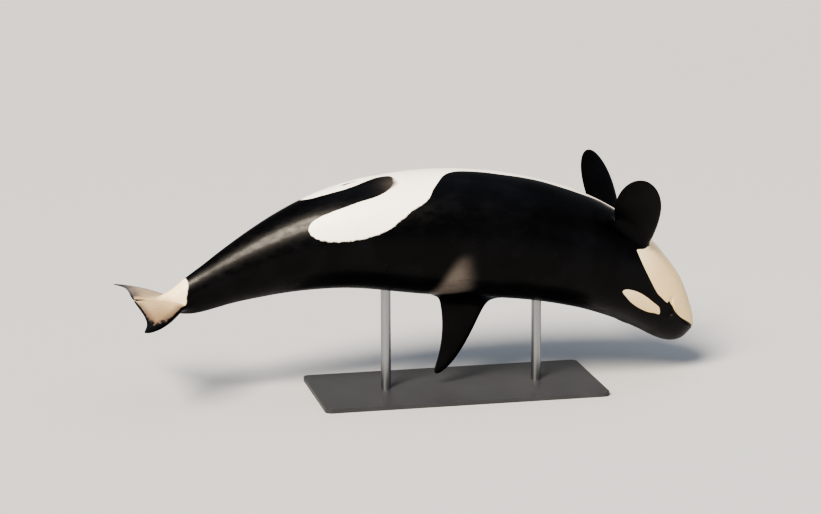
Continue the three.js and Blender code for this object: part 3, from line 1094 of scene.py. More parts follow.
@dataclass(frozen=True)
class Markings:
    """Outlines of the pale fields on one side, mirrored on the other."""

    # from the chin along the lip, cheek and throat, past the flipper, along the belly band, round the
    # flank lobe, into the dark tongue and out to the end of the middle lobe
    belly: tuple = (
        (-0.3, 90), (0.002, 90), (0.012, 90), (0.035, 90.2), (0.103, 89.8), (0.192, 91.1), (0.272, 92),
        (0.373, 90.1), (0.45, 86.4),
        (0.505, 84.2), (0.515, 88), (0.6, 87.4), (0.663, 86.6), (0.724, 84.1), (0.83, 78.4), (0.947, 71.2),
        (1.021, 65.1), (1.07, 60.2), (1.076, 58.2), (1.045, 55), (0.998, 50.5), (0.965, 43),
        (0.95, 35), (0.97, 27), (1.05, 20), (1.16, 15), (1.29, 12), (1.42, 10), (1.605, 12.4),
        (1.768, 10.9), (1.926, 7.8), (2.092, 8.1), (2.258, 8.9), (2.424, 7.3), (2.596, 7.6), (2.685, 11.4),
        (2.739, 16.4), (2.78, 22.4), (2.829, 31.3), (2.872, 38.7), (2.896, 44.4), (2.936, 50.5), (3, 55.2),
        (3.073, 59.8), (3.132, 65.1), (3.176, 68.8), (3.266, 75.9), (3.354, 80.1), (3.481, 83.3),
        (3.614, 83.9), (3.734, 81.9), (3.84, 76.5), (3.9, 69.5), (3.922, 62), (3.915, 56.5), (3.88, 51.5),
        (3.803, 48.4), (3.718, 47.2), (3.598, 45.6), (3.496, 43.5), (3.38, 41.4), (3.304, 38.6),
        (3.243, 34.2), (3.19, 29.5), (3.162, 25.2), (3.168, 19.5), (3.182, 11.6), (3.215, 7.7), (3.296, 7.4),
        (3.395, 12.6), (3.481, 16.9), (3.559, 18.8), (3.638, 18.4), (3.75, 16), (3.84, 11.5), (3.9, 0),
        (3.88, -12), (3.4, -25), (1.0, -30), (-0.3, -60))
    patch: tuple = (
        (1.012, 104.9), (0.993, 101.4), (0.944, 99.1), (0.879, 97.3), (0.804, 96.7), (0.733, 97),
        (0.658, 97.9), (0.573, 98.9), (0.54, 101.5), (0.513, 105.5), (0.508, 109), (0.556, 110.9),
        (0.604, 114), (0.66, 116),
        (0.725, 116.3), (0.794, 115.6), (0.87, 113.3), (0.944, 109.6), (0.99, 107.5))
    # outline of the grey saddle, which also carries a painted sheen
    saddle: tuple = (
        (2.96, 174), (2.88, 164), (2.8, 143), (2.735, 121), (2.684, 108.5), (2.629, 102.1), (2.557, 100.3),
        (2.509, 103.3), (2.47, 111.1), (2.443, 119.7), (2.43, 129), (2.425, 138), (2.46, 144.5), (2.54, 150),
        (2.63, 156), (2.72, 164), (2.8, 174), (2.9, 183), (2.98, 184))
    # where the black of the tail stock ends, by the angle from the belly line
    stock_t: tuple = (0, 31, 45, 54, 64, 74, 95, 108, 120, 181)
    stock_x: tuple = (5.05, 5.041, 5.051, 5.069, 5.088, 5.108, 5.125, 5.15, 5.2, 5.26)
    stock_side: tuple = (118, 0.3)  # the pale stops at this angle, and metres in half a turn there
    rim: float = 0.02  # width of the dark rim round the flukes
    rim_root: tuple = (0.4, (0, 0.08))  # share of that width at the notch, and ramp outwards to the whole
    rim_tip: tuple = (0.07, (0.42, 0.3))  # extra width at the tip, and ramp towards it
    upper: float = -0.05  # value all over the dark upper side of the flukes
    fluke_past: float = 0.3  # depth is measured as if a fluke went on past the middle by this much
    fluke_knots: int = 80
    tongue: tuple = (3.16, 0.2)  # front end of the dark tongue, as x and distance round the body
    # painted shade: dark marks where the genital slit and the slits beside it lie in shade
    slit_shades: tuple = (  # dark marks along the genital slit and beside it: place, half length, half width
        ((3.5, -0.8), 0.058, 0.011), ((3.535, 6.5), 0.04, 0.009), ((3.475, 5.5), 0.022, 0.006))
    foot: float = 0.012  # width of the dark margin round the foot of each flipper
    flippers_end: float = 1.6  # no flipper's foot lies behind this station
    outside: float = -0.5  # value far from every pale field


@dataclass(frozen=True)
class Tints:
    """How the markings fray, blur and change colour. A ramp is where it starts and how long it is."""

    rear: float = 4.9  # the tail's end starts here
    # how far the edges fray, in metres: on the body, at the tail's end, on the flukes and round the lobe
    fray: tuple = (0.005, 0.012, (2.7, 0.4))
    fray_rear: float = 0.03
    fray_fluke: tuple = (0.03, 0.3, (0.35, 0.25))
    fray_lobe: float = 0.035
    lobe: tuple = ((2.7, 0.15), (0.35, 0.2), (4.2, 0.2))  # along the body, round it, and where it ends
    # how far they blur: everywhere, round the tongue's front, at the tail's end and round the lobe
    soft: float = 0.0035
    soft_tongue: tuple = (0.04, 0.07)
    soft_rear: float = 0.006
    soft_lobe: float = 0.004
    # warmth from the chin back, at the tail's end and on the fins
    warm_front: tuple = (0.6, 1.1)
    warm_rear: tuple = (0.8, (4.9, 0.3))
    warm_fin: float = 0.8
    # tan, a warm tint that is partly painted shade: beside the tail's ridge, whose crest stays pale as if
    # lit, all round the tail's end, and outwards on the flukes
    tan: float = 0.6
    tan_shade_ridge: tuple = ((5.12, 0.25), (25, 45))
    tan_shade_end: tuple = (5.28, 0.13)
    tan_shade_fluke: tuple = (0.3, (0.1, 0.4))
    # dusky zone in from the rim of the left and the right fluke: width, share at the rim, share everywhere;
    # on the right, far fluke the wider zone and the share everywhere are painted shade
    dusk: dict = field(default_factory=lambda: {
        Fin.FLUKE_LEFT: (0.07, 0.75, 0.0), Fin.FLUKE_RIGHT: (0.11, 0.75, 0.35)})
    dusk_out: tuple = (0.04, 0.12)
    # grey at the tongue's front, and over the saddle: the saddle's own grey with a painted sheen, strongest
    # along its lower edge, which is a painted highlight
    grey_tongue: tuple = (0.32, 0.13)
    grey_edge: tuple = (0.12, 0.38)
    grey_rear: tuple = (0.12, 0.82, (2.37, 0.27))
    lower_edge_highlight: tuple = (0.2, 0.8, (1.12, 0.4), 0.22)  # the last is how much higher it starts at the rear


def outline(points: tuple, trunk: Trunk, closed_smooth: int = 6) -> Array:
    """Round an outline and lay it flat on (x, girth).

    Args:
        points: Its corners as (x, t).
        trunk: The body.
        closed_smooth: Pieces between two corners.

    Returns:
        Closed outline in metres.
    """
    p = np.asarray(points, float)
    before, after, next_after = np.roll(p, 1, 0), np.roll(p, -1, 0), np.roll(p, -2, 0)
    s = (np.arange(closed_smooth) / closed_smooth)[None, :, None]
    a, b, c, d = (v[:, None, :] for v in (before, p, after, next_after))
    square, cube = (2 * a - 5 * b + 4 * c - d) * s ** 2, (3 * b - a - 3 * c + d) * s ** 3
    fine = (0.5 * (2 * b + (c - a) * s + square + cube)).reshape(-1, 2)
    return np.stack([fine[:, 0], trunk.girth(np.maximum(fine[:, 0], NEAREST), fine[:, 1])], 1)


def inside_by(shape: Array, at: Array) -> Array:
    """Measure how far points lie inside an outline.

    Args:
        shape: Closed outline.
        at: Points.

    Returns:
        Distances to the outline, positive inside.
    """
    nearest = np.full(len(at), np.inf)
    crossings = np.zeros(len(at), int)
    for a, b in zip(shape, np.roll(shape, -1, 0)):
        run = b - a
        length = run @ run
        if length < TINY:
            continue
        s = np.clip((at - a) @ run / length, 0, 1)
        nearest = np.minimum(nearest, np.sum((at - a - s[:, None] * run) ** 2, 1))
        spans = (a[1] > at[:, 1]) != (b[1] > at[:, 1])
        if abs(run[1]) > TINY:
            crossings += spans & (at[:, 0] < a[0] + (at[:, 1] - a[1]) / run[1] * run[0])
    return np.where(crossings % 2 == 1, 1, -1) * np.sqrt(nearest)


# Nodes and finishes

def srgb(code: str) -> tuple[float, float, float, float]:
    """Turn an sRGB hex code into a linear colour.

    Args:
        code: Such as "#AABBCC".

    Returns:
        Red, green, blue and alpha.
    """
    parts = [int(code[k:k + 2], 16) / 255 for k in (1, 3, 5)]
    linear = [c / 12.92 if c <= 0.04045 else ((c + 0.055) / 1.055) ** 2.4 for c in parts]
    return (*linear, 1.0)


def feed(tree: bpy.types.NodeTree, node: bpy.types.Node, inputs: dict[int | str, object]) -> None:
    """Give a node its inputs: a socket is linked, anything else is set as the value.

    Args:
        tree: The node tree.
        node: The node.
        inputs: Sockets and values, by the input's name or number.
    """
    for key, value in inputs.items():
        if isinstance(value, bpy.types.NodeSocket):
            tree.links.new(value, node.inputs[key])
        else:
            node.inputs[key].default_value = value


def add_node(tree: bpy.types.NodeTree, kind: str, inputs: dict[int | str, object] | None = None,
             out: int | str = 0, **settings: object) -> bpy.types.NodeSocket:
    """Add one node with its settings and links.

    Args:
        tree: The node tree.
        kind: Type of the node, without the ShaderNode in front.
        inputs: Sockets and values for its inputs.
        out: Name or number of the output that is wanted.
        **settings: Properties of the node.

    Returns:
        That output.
    """
    node = tree.nodes.new(f"ShaderNode{kind}")
    for key, value in settings.items():
        setattr(node, key, value)
    feed(tree, node, inputs or {})
    return node.outputs[out]


def per_metre(size: float) -> float:
    """Turn the size of a pattern in millimetres into the scale of its node."""
    return 1000 / size


@dataclass(frozen=True)
class Finish:
    """What every finish shares: a named material with one surface shader."""

    name: str

    def material(self) -> bpy.types.Material:
        """Build the material.

        Returns:
            The material.
        """
        material = bpy.data.materials.new(self.name)
        material.use_nodes = True
        tree = material.node_tree
        feed(tree, tree.nodes["Principled BSDF"], self.surface(tree))
        return material

    def surface(self, tree: bpy.types.NodeTree) -> dict[int | str, object]:
        """Add the nodes of the finish.

        Args:
            tree: The material's node tree.

        Returns:
            Inputs of the surface shader.
        """
        raise NotImplementedError


@dataclass(frozen=True)
class Hide(Finish):
    """Wet orca skin: smooth, rubbery, black and white, under a film of water.

    The black gives the eye almost no colour of its own, only a broad dim sheen along the flank and
    sharper glints where the water lies. Sizes of patterns are in millimetres.
    """

    name: str = "wet_hide"
    black: str = "#060608"
    black_worn: str = "#0D0D10"
    white: str = "#FFFBF2"
    warm: str = "#F4DAAA"
    # tan of the tail's end and the flukes' undersides, partly painted shade
    tan: str = "#967D5D"
    # dusky mauve brown along the flukes' rims, and painted shade on the far fluke
    dusk: str = "#63524D"
    stain: str = "#B9A88F"
    # grey of the saddle, partly the saddle's own colour and partly a painted sheen
    saddle: str = "#857C74"
    grain: float = 38.46  # frays the edges of the pale fields
    fine: float = 4.762  # frays them in small, and ripples the film
    cloud: float = 312.5  # slow changes of tone, and slow waves in the film
    cloud_worn: tuple = (0.42, 0.62)
    cloud_stain: tuple = (0.45, 0.75)
    stain_share: float = 0.12
    streak: tuple = (111.1, 50.0, 50.0)  # water runs in patches drawn out along the body
    streak_veil: tuple = (-1.0, 0.9)
    streak_gloss: tuple = (0.3, 0.7)
    rough: tuple = (0.24, 0.44)
    coarse_share: float = 0.6  # share of the coarse grain in the fraying, the fine one has the rest

    def surface(self, tree: bpy.types.NodeTree) -> dict[int | str, object]:
        """Turn the markings on the vertices into colour, and lay the film of water over it.

        Args:
            tree: The material's node tree.

        Returns:
            Inputs of the surface shader.
        """
        where = add_node(tree, "TexCoord", out="Object")
        marks = {name: add_node(tree, "Attribute", out="Fac", attribute_name=name)
                 for name in ("pale", "ragged", "saddle", "warmth", "soft", "tan", "dusk")}
        grain, fine, cloud = (
            add_node(tree, "TexNoise", {"Vector": where, "Scale": per_metre(size), "Detail": detail,
                                        "Roughness": rough})
            for size, detail, rough in (
                (self.grain, 5.0, 0.62), (self.fine, 3.0, 0.6), (self.cloud, 3.0, 0.5)))
        # the edge of a pale field wanders with the grain and blurs over the width in soft
        coarse = add_node(tree, "Math", {0: grain, 1: self.coarse_share}, operation="MULTIPLY")
        small = add_node(tree, "Math", {0: fine, 1: 1 - self.coarse_share}, operation="MULTIPLY")
        speck = add_node(tree, "Math", {0: coarse, 1: small}, operation="ADD")
        offset = add_node(tree, "Math", {0: speck, 1: 0.5}, operation="SUBTRACT")
        wander = add_node(tree, "Math", {0: offset, 1: marks["ragged"]}, operation="MULTIPLY")
        edge = add_node(tree, "Math", {0: marks["pale"], 1: wander}, operation="ADD")
        blurred = add_node(tree, "Math", {0: edge, 1: marks["soft"]}, operation="DIVIDE")
        pale = add_node(tree, "MapRange", {"Value": blurred, "From Min": -1.0, "From Max": 1.0},
                        interpolation_type="SMOOTHSTEP")
        # black, a little greyer in clouds, and grey under the saddle's veil, its own grey with a painted
        # sheen, broken into streaks
        low, high = self.cloud_worn
        worn = add_node(tree, "MapRange", {"Value": cloud, "From Min": low, "From Max": high},
                        interpolation_type="SMOOTHSTEP")
        dark = add_node(tree, "Mix", {0: worn, 6: srgb(self.black), 7: srgb(self.black_worn)}, 2,
                        data_type="RGBA")
        along = add_node(tree, "Mapping", {"Vector": where, "Scale": tuple(map(per_metre, self.streak))})
        streak = add_node(tree, "TexNoise", {"Vector": along, "Scale": 1.0, "Detail": 5.0, "Roughness": 0.6})
        low, high = self.streak_veil
        wet = add_node(tree, "MapRange", {"Value": streak, "From Min": low, "From Max": high},
                       interpolation_type="SMOOTHSTEP")
        veil = add_node(tree, "Math", {0: marks["saddle"], 1: wet}, operation="MULTIPLY")
        dark = add_node(tree, "Mix", {0: veil, 6: dark, 7: srgb(self.saddle)}, 2, data_type="RGBA")
        # white, warm towards the chin and the tail, tan with painted shade on the tail's end and the flukes,
        # dusky along their rims and with painted shade on the far fluke, with faint stains
        low, high = self.cloud_stain
        spot = add_node(tree, "MapRange", {"Value": cloud, "From Min": low, "From Max": high},
                        interpolation_type="SMOOTHSTEP")
        spot = add_node(tree, "Math", {0: spot, 1: self.stain_share}, operation="MULTIPLY")
        light = srgb(self.white)
        for share, colour in ((marks["warmth"], self.warm), (marks["tan"], self.tan),
                              (marks["dusk"], self.dusk), (spot, self.stain)):
            light = add_node(tree, "Mix", {0: share, 6: light, 7: srgb(colour)}, 2, data_type="RGBA")
        (low, high), (glossy, dull) = self.streak_gloss, self.rough
        ripple = add_node(tree, "Bump", {"Height": fine, "Strength": 0.12, "Distance": 0.0009})
        return {
            "Base Color": add_node(tree, "Mix", {0: pale, 6: dark, 7: light}, 2, data_type="RGBA"),
            "Roughness": add_node(tree, "MapRange", {"Value": streak, "From Min": low, "From Max": high,
                                                     "To Min": glossy, "To Max": dull}),
            "IOR": 1.35,  # living skin under water, close to water itself
            "Specular IOR Level": 0.3,
            "Coat Weight": 0.12,
            "Coat Roughness": 0.12,
            "Coat IOR": 1.33,  # water
            "Normal": add_node(tree, "Bump", {"Height": cloud, "Strength": 0.25, "Distance": 0.006,
                                              "Normal": ripple})}


@dataclass(frozen=True)
class EyeGloss(Finish):
    """A whale's eye under its wet cornea: black pupil, dark brown iris, reddish brown at the rim.

    The cornea gives the eye its one sharp point of light; the rest stays nearly black.
    """

    name: str = "eye_gloss"
    pupil: str = "#050506"
    iris: str = "#21150E"
    iris_deep: str = "#1B100B"
    rim: str = "#3B2B27"
    fibre: float = 1.111  # threads of the iris, in millimetres
    iris_from: tuple = (0.3, 0.38)  # angles off the axis in radians
    rim_from: tuple = (0.85, 1.05)

    def surface(self, tree: bpy.types.NodeTree) -> dict[int | str, object]:
        """Colour the ball in rings by the angle off its axis.

        Args:
            tree: The material's node tree.

        Returns:
            Inputs of the surface shader.
        """
        off = add_node(tree, "Attribute", out="Fac", attribute_name="off_axis")
        where = add_node(tree, "TexCoord", out="Object")
        fibre = add_node(tree, "TexNoise", {"Vector": where, "Scale": per_metre(self.fibre), "Detail": 4.0})
        iris = add_node(tree, "Mix", {0: fibre, 6: srgb(self.iris), 7: srgb(self.iris_deep)}, 2,
                        data_type="RGBA")
        colour = srgb(self.pupil)
        for (low, high), ring in ((self.iris_from, iris), (self.rim_from, srgb(self.rim))):
            share = add_node(tree, "MapRange", {"Value": off, "From Min": low, "From Max": high},
                             interpolation_type="SMOOTHSTEP")
            colour = add_node(tree, "Mix", {0: share, 6: colour, 7: ring}, 2, data_type="RGBA")
        return {"Base Color": colour, "Roughness": 0.12, "IOR": 1.376,  # cornea
                "Coat Weight": 1.0, "Coat Roughness": 0.02}


@dataclass(frozen=True)
class StandPaint(Finish):
    """Powder coat, baked on steel plate: semi-matt dark grey.

    Its fine orange peel breaks up the reflections, and settled dust lightens it in patches.
    """

    name: str = "stand_paint"
    colour: str = "#3B3D40"
    dusty: str = "#54575A"
    peel: float = 2.381  # millimetres
    dust: float = 416.7
    dust_seen: tuple = (0.4, 0.7)
    dust_share: float = 0.25
    rough: tuple = (0.42, 0.58)

    def surface(self, tree: bpy.types.NodeTree) -> dict[int | str, object]:
        """Paint the plate.

        Args:
            tree: The material's node tree.

        Returns:
            Inputs of the surface shader.
        """
        where = add_node(tree, "TexCoord", out="Object")
        peel = add_node(tree, "TexNoise", {"Vector": where, "Scale": per_metre(self.peel), "Detail": 2.0})
        dust = add_node(tree, "TexNoise", {"Vector": where, "Scale": per_metre(self.dust), "Detail": 6.0})
        (low, high), (glossy, dull) = self.dust_seen, self.rough
        seen = add_node(tree, "MapRange", {"Value": dust, "From Min": low, "From Max": high},
                        interpolation_type="SMOOTHSTEP")
        seen = add_node(tree, "Math", {0: seen, 1: self.dust_share}, operation="MULTIPLY")
        return {
            "Base Color": add_node(tree, "Mix", {0: seen, 6: srgb(self.colour), 7: srgb(self.dusty)}, 2,
                                   data_type="RGBA"),
            "Roughness": add_node(tree, "MapRange", {"Value": dust, "To Min": glossy, "To Max": dull}),
            "IOR": 1.5,  # polyester resin
            "Normal": add_node(tree, "Bump", {"Height": peel, "Strength": 0.2, "Distance": 0.0004})}


@dataclass(frozen=True)
class RodSteel(Finish):
    """Brushed stainless steel tube.

    The brush marks run round the rod and draw the highlight out into a soft band along it. Real marks
    are far finer than the render shows, so they are drawn 1 mm apart.
    """

    name: str = "rod_steel"
    colour: str = "#B9BBBD"
    shade: str = "#94979A"
    lines: tuple = (333.3, 333.3, 1.111)  # millimetres round the rod and along it
    rough: tuple = (0.24, 0.4)

    def surface(self, tree: bpy.types.NodeTree) -> dict[int | str, object]:
        """Brush the rod.

        Args:
            tree: The material's node tree.

        Returns:
            Inputs of the surface shader.
        """
        where = add_node(tree, "TexCoord", out="Object")
        drawn = add_node(tree, "Mapping", {"Vector": where, "Scale": tuple(map(per_metre, self.lines))})
        brushed = add_node(tree, "TexNoise", {"Vector": drawn, "Scale": 1.0, "Detail": 3.0})
        glossy, dull = self.rough
        return {
            "Base Color": add_node(tree, "Mix", {0: brushed, 6: srgb(self.colour), 7: srgb(self.shade)}, 2,
                                   data_type="RGBA"),
            "Roughness": add_node(tree, "MapRange", {"Value": brushed, "To Min": glossy, "To Max": dull}),
            "Metallic": 1.0,
            "Normal": add_node(tree, "Bump", {"Height": brushed, "Strength": 0.15, "Distance": 0.0003})}


@dataclass(frozen=True)
class Floor(Finish):
    """Matt painted studio floor, pale and even, so that nothing on it draws the eye."""

    name: str = "studio_floor"
    colour: str = "#C9CBCC"

    def surface(self, tree: bpy.types.NodeTree) -> dict[int | str, object]:
        """Paint the floor.

        Args:
            tree: The material's node tree; not used.

        Returns:
            Inputs of the surface shader.
        """
        return {"Base Color": srgb(self.colour), "Roughness": 0.8}


# Pieces

def linked(mesh: bpy.types.Mesh, name: str) -> bpy.types.Object:
    """Put a mesh in the scene.

    Args:
        mesh: The mesh.
        name: Name of the object.

    Returns:
        The object.
    """
    obj = bpy.data.objects.new(name, mesh)
    bpy.context.scene.collection.objects.link(obj)
    return obj


@dataclass(frozen=True)
class HideGrid:
    """How finely the hide is divided."""

    sides: int = 176
    snout: float = 0.0004  # the first ring
    seam: float = -120.0  # angle where the rings start, clear of every small feature
    angles: int = 7201  # how many angles round the body the columns are chosen from
    notch: float = 0.14  # the body ends this far ahead of the notch between the flukes
    at: tuple = (0, 0.02, 0.1, 0.6, 0.8, 1.4, 5.0, 5.2, LENGTH)
    step: tuple = (0.0008, 0.002, 0.0055, 0.0075, 0.013, 0.026, 0.026, 0.014, 0.012)


@dataclass(frozen=True)
class FineZones:
    """How far from each small feature the grid is split."""

    largest: float = 0.01  # a face of the flat grid larger than this lies at its ends and stays whole
    mouth: float = 0.022
    lips: float = 0.009
    lips_start: float = 0.02
    mouth_end: float = 0.5
    blowhole: float = 0.075
    slits: tuple = (0.01, 0.06)  # beyond their ends, and round the body
    navel: tuple = (0.035, 0.03)  # along the body and round it
    flippers: float = 0.27
    flank: float = 0.5625  # metres to a radian of t there


@dataclass(frozen=True)
class Sheet:
    """Where the flattened hide lies on its square sheet, in metres before it is scaled to 1."""

    side: float = 5.7
    body: float = 3.75  # height that the body takes
    below: float = 1.3  # the belly line lies this high
    cell: tuple = (1.13, 0.8)  # room for one side of a fin
    margin: float = 0.01


@dataclass
class HideSkin:
    """The whole hide as one closed mesh: body, small features and fins grown together."""

    trunk: Trunk
    grid: HideGrid = HideGrid()
    zones: FineZones = FineZones()
    mouth: Mouth = Mouth()
    eye: Eye = Eye()
    blowhole: Blowhole = Blowhole()
    slits: BellySlits = BellySlits()
    markings: Markings = Markings()
    sheet: Sheet = Sheet()
    fillet: float = 0.11  # the creases are eased within this distance
    rounds: int = 120
    pull: float = 0.6  # share of the way to its neighbours' mean that a vertex goes in a round
    chunk: int = 40  # points of the creases that are measured against at once
    still: tuple = (-0.14, 0.03)  # ramp towards the tail on the flukes, past which nothing is eased
    crowding: tuple = (1.1, 94, 16)  # the columns' extra density, its middle and its width in degrees
    tints: Tints = Tints()
    blades: list[Blade] = field(default_factory=list)

    def __post_init__(self) -> None:
        """Set the five fins on the body."""
        self.blades = [DorsalFin(self.trunk), Flipper(self.trunk, Fin.FLIPPER_LEFT),
                       Flipper(self.trunk, Fin.FLIPPER_RIGHT), Fluke(self.trunk, Fin.FLUKE_LEFT),
                       Fluke(self.trunk, Fin.FLUKE_RIGHT)]

    def columns(self) -> Array:
        """Lay the angles of a ring, closer together on the flanks where mouth and eyes are.

        Returns:
            Angles in degrees from the seam on.
        """
        fine = np.linspace(self.grid.seam, self.grid.seam + 360, self.grid.angles)
        more, middle, width = self.crowding
        dense = 1 + more * bell(np.abs(turned(fine)) - middle, width)
        count = np.concatenate([[0], np.cumsum(dense[1:])])
        return np.interp(np.arange(self.grid.sides) / self.grid.sides * count[-1], count, fine)

    def flat(self) -> bmesh.types.BMesh:
        """Lay the grid flat, with rings round the eyes, and split it where features need it.

        Returns:
            The flat form.
        """
        g = self.grid
        x, t = graded(g.snout, LENGTH - g.notch, g.at, g.step), self.columns()
        rows, ring = len(x), len(t)
        grid = np.stack(np.broadcast_arrays(x[:, None], t[None, :] / FLAT, 0.0), -1).reshape(-1, 3)
        i, j = np.meshgrid(np.arange(rows - 1), np.arange(ring), indexing="ij")
        a, b = i * ring + j, i * ring + (j + 1) % ring
        quads = np.stack([a, a + ring, b + ring, b], -1)
        kept = np.ones(i.shape, bool)
        k = np.arange(ring)
        nose = np.stack([(k + 1) % ring, np.full(ring, rows * ring), k], 1)
        start = (rows - 1) * ring
        tail = np.stack([start + k, np.full(ring, rows * ring + 1), start + (k + 1) % ring], 1)
        points = [grid, [[-POLE, FLANK / FLAT, 0.0], [LENGTH + POLE, FLANK / FLAT, 0.0]]]
        faces = nose.tolist() + tail.tolist()
        count = rows * ring + 2
        for side in (1, -1):
            i0, i1, j0, j1 = self.eye_block(x, t, side)
            kept &= ~((i >= i0) & (i < i1) & (j >= j0) & (j < j1))
            rim = np.concatenate([i0 * ring + np.arange(j0, j1), np.arange(i0, i1) * ring + j1,
                                  i1 * ring + np.arange(j1, j0, -1), np.arange(i1, i0, -1) * ring + j0])
            ring_x, ring_t = self.eye.rings(self.trunk, grid[rim, 0], np.abs(grid[rim, 1] * FLAT))
            index = np.concatenate([count + np.arange(ring_x.size).reshape(ring_x.shape), rim[None]])
            points.append(np.stack([ring_x, side * ring_t / FLAT, np.zeros_like(ring_x)], -1).reshape(-1, 3))
            inner, outer = index[:-1], index[1:]
            round_it = np.stack([inner, outer, np.roll(outer, -1, 1), np.roll(inner, -1, 1)], -1)
            faces += round_it.reshape(-1, 4).tolist() + [index[0].tolist()]
            count += ring_x.size
        mesh = bpy.data.meshes.new("flat")
        mesh.from_pydata(np.concatenate(points).tolist(), [], faces + quads[kept].tolist())
        form = bmesh.new()
        form.from_mesh(mesh)
        bpy.data.meshes.remove(mesh)
        bmesh.ops.delete(form, geom=[v for v in form.verts if not v.link_faces], context="VERTS")
        # round the slits the grid is split twice
        for wanted in (self.near_mouth, self.near_lips, self.near_blowhole, self.near_slits, self.near_slits,
                       self.near_flippers):
            self.split(form, wanted)
        return form

    def eye_block(self, x: Array, t: Array, side: int) -> tuple[int, int, int, int]:
        """Find the rows and columns of the grid that an eye's patch takes the place of.

        Args:
            x: Stations of the rows.
            t: Angles of the columns.
            side: 1 for the left, -1 for the right.

        Returns:
            First and last row, first and last column.
        """
        _, b = self.eye.place(self.trunk, np.full_like(t, self.eye.x), t)
        rows = np.flatnonzero(np.abs(x - self.eye.x) < self.eye.reach[0])
        columns = np.flatnonzero((np.abs(b) < self.eye.reach[1]) & (turned(t) * side > 0))
        return rows[0], rows[-1], columns[0], columns[-1]

    def split(self, form: bmesh.types.BMesh, wanted: Callable[[Array, Array], Array]) -> None:
        """Halve the edges of the faces that a feature touches.

        Args:
            form: The flat form.
            wanted: Says for each middle (x, t) whether the face is touched.
        """
        faces = [f for f in form.faces if len(f.verts) == 4]
        middle = np.array([f.calc_center_median() for f in faces])
        span = np.array([f.calc_area() for f in faces])
        chosen = wanted(middle[:, 0], middle[:, 1] * FLAT) & (span < self.zones.largest)
        edges = {e for f, take in zip(faces, chosen) if take for e in f.edges}
        bmesh.ops.subdivide_edges(form, edges=list(edges), cuts=1, use_grid_fill=True)

    def near_mouth(self, x: Array, t: Array) -> Array:
        """Say where the mouth needs a finer grid.

        Args:
            x: Stations.
            t: Angles in degrees.

        Returns:
            True near the lips.
        """
        x, t = np.maximum(x, NEAREST), turned(t)
        a, b = self.eye.place(self.trunk, x, t)
        eyes = (np.abs(a) < self.eye.reach[0]) & (np.abs(b) < self.eye.reach[1])
        near = np.abs(self.mouth.away(self.trunk, x, t)) < self.zones.mouth
        return (x < self.zones.mouth_end) & near & ~eyes

    def near_lips(self, x: Array, t: Array) -> Array:
        """Say where the groove between the lips needs a finer grid still.

        Args:
            x: Stations.
            t: Angles in degrees.

        Returns:
            True where it does.
        """
        near = np.abs(self.mouth.away(self.trunk, np.maximum(x, NEAREST), turned(t))) < self.zones.lips
        return (x > self.zones.lips_start) & (x < self.zones.mouth_end) & near

    def near_blowhole(self, x: Array, t: Array) -> Array:
        """Say where the blowhole needs a finer grid.

        Args:
            x: Stations.
            t: Angles in degrees.

        Returns:
            True where it does.
        """
        across = np.radians(turned(t - 180)) * self.blowhole.back
        return np.hypot(x - self.blowhole.x, across) < self.zones.blowhole

    def near_slits(self, x: Array, t: Array) -> Array:
        """Say where navel and slits need a finer grid.

        Args:
            x: Stations.
            t: Angles in degrees.

        Returns:
            True where it does.
        """
        y = np.abs(self.trunk.girth(np.maximum(x, 0), turned(t)))
        (start, end), (beyond, wide) = self.slits.slit, self.zones.slits
        long, round_it = self.zones.navel
        return ((x > start - beyond) & (x < end + beyond) & (y < wide)
                | (np.abs(x - self.slits.navel) < long) & (y < round_it))

    def near_flippers(self, x: Array, t: Array) -> Array:
        """Say where the feet of the flippers need a finer grid.

        Args:
            x: Stations.
            t: Angles in degrees.

        Returns:
            True where it does.
        """
        root = FlipperSizes()
        across = np.radians(np.abs(turned(t)) - root.t) * self.zones.flank
        return np.hypot(x - root.x, across) < self.zones.flippers

    def body(self) -> bpy.types.Mesh:
        """Build the body with its small features.

        Returns:
            Closed mesh with (x, t) in the map named place.
        """
        form = self.flat()
        mesh = bpy.data.meshes.new("orca_skin")
        form.to_mesh(mesh)
        form.free()
        flat = read_points(mesh)
        pole = (flat[:, 0] < 0) | (flat[:, 0] > LENGTH)
        x, t = np.clip(flat[:, 0], 0, LENGTH), flat[:, 1] * FLAT
        height = sum(part.height(self.trunk, x, turned(t))
                     for part in (self.mouth, self.eye, self.blowhole, self.slits))
        points = self.trunk.skin(x, t) + self.trunk.outward(x, t) * height[:, None]
        ring = self.grid.sides
        points[pole & (x == 0)] = points[:ring].mean(0)
        points[pole & (x == LENGTH)] = self.trunk.frame(np.array([LENGTH - self.grid.notch]))[0]
        write_points(mesh, points)
        face_out(mesh)
        corner = loop_vertices(mesh)
        place = np.stack([x, t], 1)[corner]
        # faces over the seam keep one run of angles
        place[:, 1] += 360 * self.over_seam(mesh, place[:, 1])
        write_map(mesh, "place", place)
        return mesh

    @staticmethod
    def over_seam(mesh: bpy.types.Mesh, t: Array) -> Array:
        """Find corners whose angle is a full turn short of the rest of their face.

        Args:
            mesh: The mesh.
            t: Angle at each corner.

        Returns:
            1 where a turn is missing, otherwise 0.
        """
        starts, totals = face_runs(mesh)
        highest = np.repeat(np.maximum.reduceat(t, starts), totals)
        return (highest - t > 180).astype(float)

